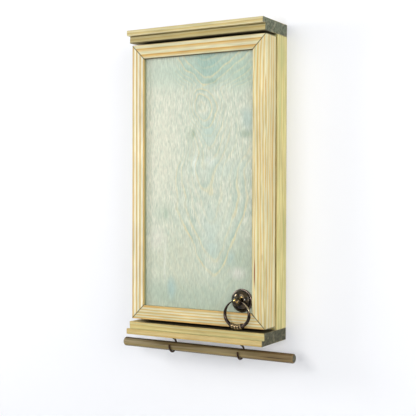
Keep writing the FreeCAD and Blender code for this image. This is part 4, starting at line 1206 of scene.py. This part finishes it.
@dataclass
class RingPull:
    """The antique ring pull: a domed plate, a ball on a neck, and a tapered ring with turned beads."""

    centre: Place = (64.7, 0.0, -311.6)
    ball_place: float = -65.0
    ball_radius: float = 5.6
    neck_radius: float = 3.1
    ring_half_width: float = 17.0
    ring_low: float = 14.9
    ring_high: float = 17.6
    ring_middle: float = -328.106
    ring_thick: float = 2.75
    ring_thin: float = 0.8
    ring_taper: float = 1.8
    ring_waist: float = 2.3
    ring_steps: int = 72
    bead_radius: float = 3.45
    bead_length: float = 3.5
    bead_rounding: float = 1.4
    bead_angles: tuple[float, ...] = (-19.5, -6.5, 6.5, 19.5)
    flare: tuple[tuple[float, float], ...] = ((-0.8, 2.5), (-0.45, 3.05), (0, 3.2), (0.45, 3.05), (0.8, 2.5))
    flare_angles: tuple[float, ...] = (-29.5, 29.5)
    pin_half: float = 6.3
    rod_radius: float = 1.9
    # Each profile step gives a place along Y and a radius: the flange, the flute round it, the dome's side,
    # its crown, and the small flat under the neck.
    plate_foot: tuple[tuple[float, float], ...] = ((-51.2, 14.8), (-52.1, 14.8))
    plate_rim: tuple[float, float] = (-53.3, 13.5)
    plate_flute: tuple[float, float] = (-52.4, 13.15)
    plate_shoulder: tuple[float, float] = (-56.6, 11.8)
    plate_crown: tuple[float, float] = (-59.2, 4.1)
    plate_flat: tuple[float, float] = (-59.25, 3.0)

    def build(self) -> None:
        """Builds the plate, the post and the ring. The ring's beads are rubbed paler, which also paints their
        highlights, and its right arm has a painted highlight along its outer upper edge.
        """
        bronze = ANTIQUE_BRONZE.material()
        self._plate(bronze)
        self._post(bronze)
        middle = Vector((self.centre[0], self.ball_place, self.ring_middle))
        # The beads are rubbed paler, and this also paints their highlights.
        rubbed = [WearAndHighlight(tuple(middle + self._on_ring(angle)[0]), (1, 1, 1), 3.4, 3.9, "a08a66", 0.65)
                  for angle in self.bead_angles]
        # A painted highlight along the right arm's outer upper edge.
        rubbed.append(WearAndHighlight(tuple(middle + Vector((-5, 0, -5))), (1, 0, 1), 24.9, 26.8, "b5a888", 0.7))
        self._ring(replace(RING_BRONZE, wear_and_highlights=tuple(rubbed)).material())

    def _plate(self, bronze: bpy.types.Material) -> None:
        """Turns the domed plate: a thin flange, a rounded side and a flatter crown.

        Args:
            bronze: Its finish.
        """
        profile = list(self.plate_foot)
        profile += arc(profile[-1], self.plate_rim, 1.25, 6)
        profile += [self.plate_flute]
        profile += arc(profile[-1], self.plate_shoulder, 4.3, 8)
        profile += arc(profile[-1], self.plate_crown, 12.7, 12)
        profile += [self.plate_flat]
        plate = turned("ring_pull_plate", Axis.Y, self.centre, profile, 72)
        smooth(plate, 40)
        finish_piece(plate, "door", "pull_rosette", bronze)

    def _post(self, bronze: bpy.types.Material) -> None:
        """Turns the threaded rod through the panel, the neck and the ball.

        Args:
            bronze: Its finish.
        """
        tail, rod, chamfer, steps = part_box("pull_post")[1].y / MM, self.rod_radius, 0.4, 24
        start, end = math.asin(self.neck_radius / self.ball_radius), math.pi - 0.12
        profile = [(tail, rod - chamfer), (tail - chamfer, rod), (-58.6, rod), (-58.8, self.neck_radius)]
        for step in range(steps + 1):
            angle = start + (end - start) * step / steps
            profile.append((self.ball_place + self.ball_radius * math.cos(angle),
                            self.ball_radius * math.sin(angle)))
        post = turned("ring_pull_post", Axis.Y, self.centre, profile, 56)
        smooth(post, 40)
        finish_piece(post, "door", "pull_post", bronze)

    def _ring(self, bronze: bpy.types.Material) -> None:
        """Makes the ring: a round section swept round, thinned towards the ball, with beads at its foot.

        Args:
            bronze: Its finish.
        """
        middle = Vector((self.centre[0], self.ball_place, self.ring_middle))
        gap = math.degrees(math.asin((self.ball_radius + 0.3) / self.ring_half_width))
        reach = 180 - gap
        first = math.radians(-90 - reach)
        start = middle + Vector((math.cos(first), 0, math.sin(first))) * self.ring_half_width
        ring = add_disc("ring_pull_ring", Axis.Z, start, self.ring_thick, 24, filled=False)
        with editing(ring):
            bpy.ops.mesh.select_all(action="SELECT")
            bpy.ops.transform.rotate(value=-first, orient_axis="Y", center_override=start * MM)
            bpy.ops.mesh.spin(steps=self.ring_steps, angle=math.radians(2 * reach), center=middle * MM,
                              axis=(0, 1, 0))
        self._shape_sections(ring, middle, reach)
        with editing(ring):
            close_ends()
        pin = turned("ring_pull_pin", Axis.X, (self.centre[0], self.ball_place, self.centre[2]),
                     [(-self.pin_half, self.ring_thin), (self.pin_half, self.ring_thin)], 24)
        parts = [ring, pin] + self._beads(middle)
        take(ring)
        for part in parts:
            part.select_set(True)
        bpy.ops.object.join()
        smooth(ring, 50)
        finish_piece(ring, "ring", "pull_ring", bronze)

    def _on_ring(self, angle: float) -> tuple[Vector, float]:
        """Finds a point of the ring's middle line, seen from the ring's middle.

        Args:
            angle: Degrees from the ring's foot, which also sets the turn on a true circle.

        Returns:
            The point in millimetres, and how far the ring has turned there, in degrees.
        """
        turn = math.radians(angle)
        tall = self.ring_low if abs(angle) < 90 else self.ring_high
        point = Vector((self.ring_half_width * math.sin(turn), 0, -tall * math.cos(turn)))
        return point, math.degrees(math.atan2(tall * math.sin(turn), self.ring_half_width * math.cos(turn)))

    def _shape_sections(self, ring: bpy.types.Object, middle: Vector, reach: float) -> None:
        """Thins each section of the ring, and moves it from the circle to the ring's own line.

        Args:
            ring: The swept ring.
            middle: Its middle, in millimetres.
            reach: How far each arm reaches from the foot, in degrees.
        """
        step = 2 * reach / self.ring_steps
        sections: dict[int, set[int]] = {}
        for vert in ring.data.vertices:
            away = vert.co / MM - middle
            angle = math.degrees(math.atan2(away.x, -away.z))
            sections.setdefault(round((angle + reach) / step), set()).add(vert.index)
        with editing(ring):
            for number, members in sections.items():
                angle = number * step - reach
                share = abs(angle) / reach
                radius = self.ring_thin + (self.ring_thick - self.ring_thin) * math.cos(
                    math.pi / 2 * min(share, 1.0) ** self.ring_taper)
                if abs(angle) < max(self.bead_angles) + 4:
                    radius = self.ring_waist
                turn = math.radians(angle)
                place = middle + Vector((math.sin(turn), 0, -math.cos(turn))) * self.ring_half_width
                point, turned_by = self._on_ring(angle)
                pick(ring, Element.VERT, lambda vert: vert.index in members)
                bpy.ops.transform.resize(value=(radius / self.ring_thick,) * 3, center_override=place * MM)
                bpy.ops.transform.rotate(value=math.radians(turned_by - angle), orient_axis="Y",
                                         center_override=place * MM)
                bpy.ops.transform.translate(value=(middle + point - place) * MM)

    def _beads(self, middle: Vector) -> list[bpy.types.Object]:
        """Turns a bead and a flare, and copies them round the ring's foot.

        Args:
            middle: The ring's middle, in millimetres.

        Returns:
            The copies.
        """
        profile = eased_rod(self.bead_length / 2, self.bead_radius, self.bead_rounding, 6)
        bead = turned("bead", Axis.X, (0, 0, 0), profile, 32)
        flare = turned("flare", Axis.X, (0, 0, 0), self.flare, 32)
        parts = []
        for model, angles in ((bead, self.bead_angles), (flare, self.flare_angles)):
            for angle in angles:
                point, turned_by = self._on_ring(angle)
                copy = model.copy()
                copy.data = model.data.copy()
                bpy.context.scene.collection.objects.link(copy)
                copy.rotation_euler = (0, -math.radians(turned_by), 0)
                copy.location = (middle + point) * MM
                settle(copy)
                parts.append(copy)
            bpy.data.objects.remove(model)
        return parts


@dataclass
class HangingBar:
    """The round bar with eased ends, and the two open screw hooks that carry it."""

    bar_line: tuple[float, float] = (-32.7, -381.8)
    bar_radius: float = 6.0
    bar_half: float = 128.5
    rounding: float = 2.2
    hook_places: tuple[tuple[str, float], ...] = (("bar_hook_left", -50.6), ("bar_hook_right", 52.8))
    wire: float = 1.25
    loop: float = 8.75
    bend: float = 3.0
    loop_middle: float = -380.6
    stem_top: float = -352.9
    tip: float = 278.0
    tip_steps: tuple[tuple[float, float], ...] = ((0.35, 0.86), (0.25, 0.7))
    # A pine dowel, turned and stained darker: brown, with its rings as long streaks. The marks are a paler line
    # along its lower front that is a painted highlight, a dark line along its top that is painted shadow from the
    # bottom board, a dark one along its foot that is painted shade, a browner right end with a crack, and a short
    # streak left of the middle.
    finish: StainedPine = StainedPine(
        "stained_pine_bar", Grain.ACROSS, (-386, 18), 2.6, 0.0, 1.2, cream="928362", tan="7b6a46", deep="574427",
        green="7a7650", green_share=0.5, end="4a493a", end_dry="6c6650", marks=(
            # The first three marks are a painted highlight, a painted shadow and painted shade.
            Mark((-384.3, -38.2, 0), (2.2, 4.0, 400), "a9935c", 0.4),
            Mark((-375.8, -34.0, 0), (3.2, 6.0, 400), "3a2817", 0.9),
            Mark((-387.7, -34.2, 0), (2.2, 5.0, 400), "3c3020", 0.8),
            Mark((-381.8, -32.7, 112), (14, 14, 80), "5f4625", 0.6),
            Mark((-382.3, -38.6, 103), (0.75, 2.4, 27), "33230f", 1.0),
            Mark((-380.0, -38.2, -60), (0.7, 2.4, 34), "4a3820", 0.7)))

    def build(self) -> None:
        """Turns the bar and bends both hooks."""
        profile = eased_rod(self.bar_half, self.bar_radius, self.rounding, 5)
        bar = turned("round_bar", Axis.X, (0, *self.bar_line), profile, 48)
        smooth(bar, 30)
        finish_piece(bar, "bar", "hanging_bar", self.finish.material())
        wire = HOOK_STEEL.material()
        for node, place in self.hook_places:
            self._hook(node, place, wire)

    def _hook(self, node: str, place: float, wire: bpy.types.Material) -> None:
        """Bends one hook: a straight stem, a small bend backwards, and the loop round the bar's back and foot.

        Args:
            node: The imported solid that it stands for.
            place: Where it stands along the bar.
            wire: Its finish.
        """
        middle = Vector((place, self.bar_line[0], self.loop_middle))
        rise = math.sqrt(self.loop ** 2 + 2 * self.loop * self.bend)
        lean = math.degrees(math.atan2(self.bend, rise))
        hook = add_disc(node + "_wire", Axis.Z, (place, self.bar_line[0], self.stem_top), self.wire, 16,
                        filled=False)
        with editing(hook):
            bpy.ops.mesh.select_all(action="SELECT")
            drop = Vector((0, 0, middle.z + rise - self.stem_top)) * MM
            bpy.ops.mesh.extrude_region_move(TRANSFORM_OT_translate={"value": drop})
            bpy.ops.mesh.spin(steps=8, angle=math.radians(lean - 90), axis=(1, 0, 0),
                              center=(middle + Vector((0, self.bend, rise))) * MM)
            bpy.ops.mesh.spin(steps=36, angle=math.radians(self.tip - lean), axis=(1, 0, 0), center=middle * MM)
            turn = math.radians(self.tip)
            ahead = Vector((0, math.cos(turn), -math.sin(turn)))
            end = middle + Vector((0, math.sin(turn), math.cos(turn))) * self.loop
            for out, share in self.tip_steps:
                end += ahead * out
                bpy.ops.mesh.extrude_region_move(TRANSFORM_OT_translate={"value": ahead * out * MM})
                bpy.ops.transform.resize(value=(share,) * 3, center_override=end * MM)
            close_ends()
        smooth(hook, 40)
        finish_piece(hook, "case", node, wire)


@dataclass
class Fittings:
    """Hinges, screws, catch, necklace hooks and pins."""

    brass: tuple[str, ...] = (
        "hinge_upper_case_leaf", "hinge_lower_case_leaf", "hinge_upper_door_leaf", "hinge_lower_door_leaf",
        "hinge_upper_pin", "hinge_lower_pin", "hinge_case_screws", "hinge_door_screws", "necklace_hooks")
    zinc: tuple[str, ...] = (
        "back_panel_pins", "catch_cup", "strike_plate", "strike_screw", "pull_washer", "pull_nut")
    nickel: tuple[str, ...] = ("catch_magnet",)

    def build(self) -> None:
        """Dresses every fitting."""
        for finish, nodes in ((AGED_BRASS, self.brass), (ZINC_STEEL, self.zinc), (NICKEL, self.nickel)):
            material = finish.material()
            for node in nodes:
                dress(node, material)


def main() -> None:
    """Builds the studio and the cabinet's sub-assemblies in order."""
    Studio().build()
    for part in (Carcass(), Door(), RingPull(), HangingBar(), Fittings()):
        part.build()
        log.info("%s ready", type(part).__name__)


if __name__ == "__main__":
    main()
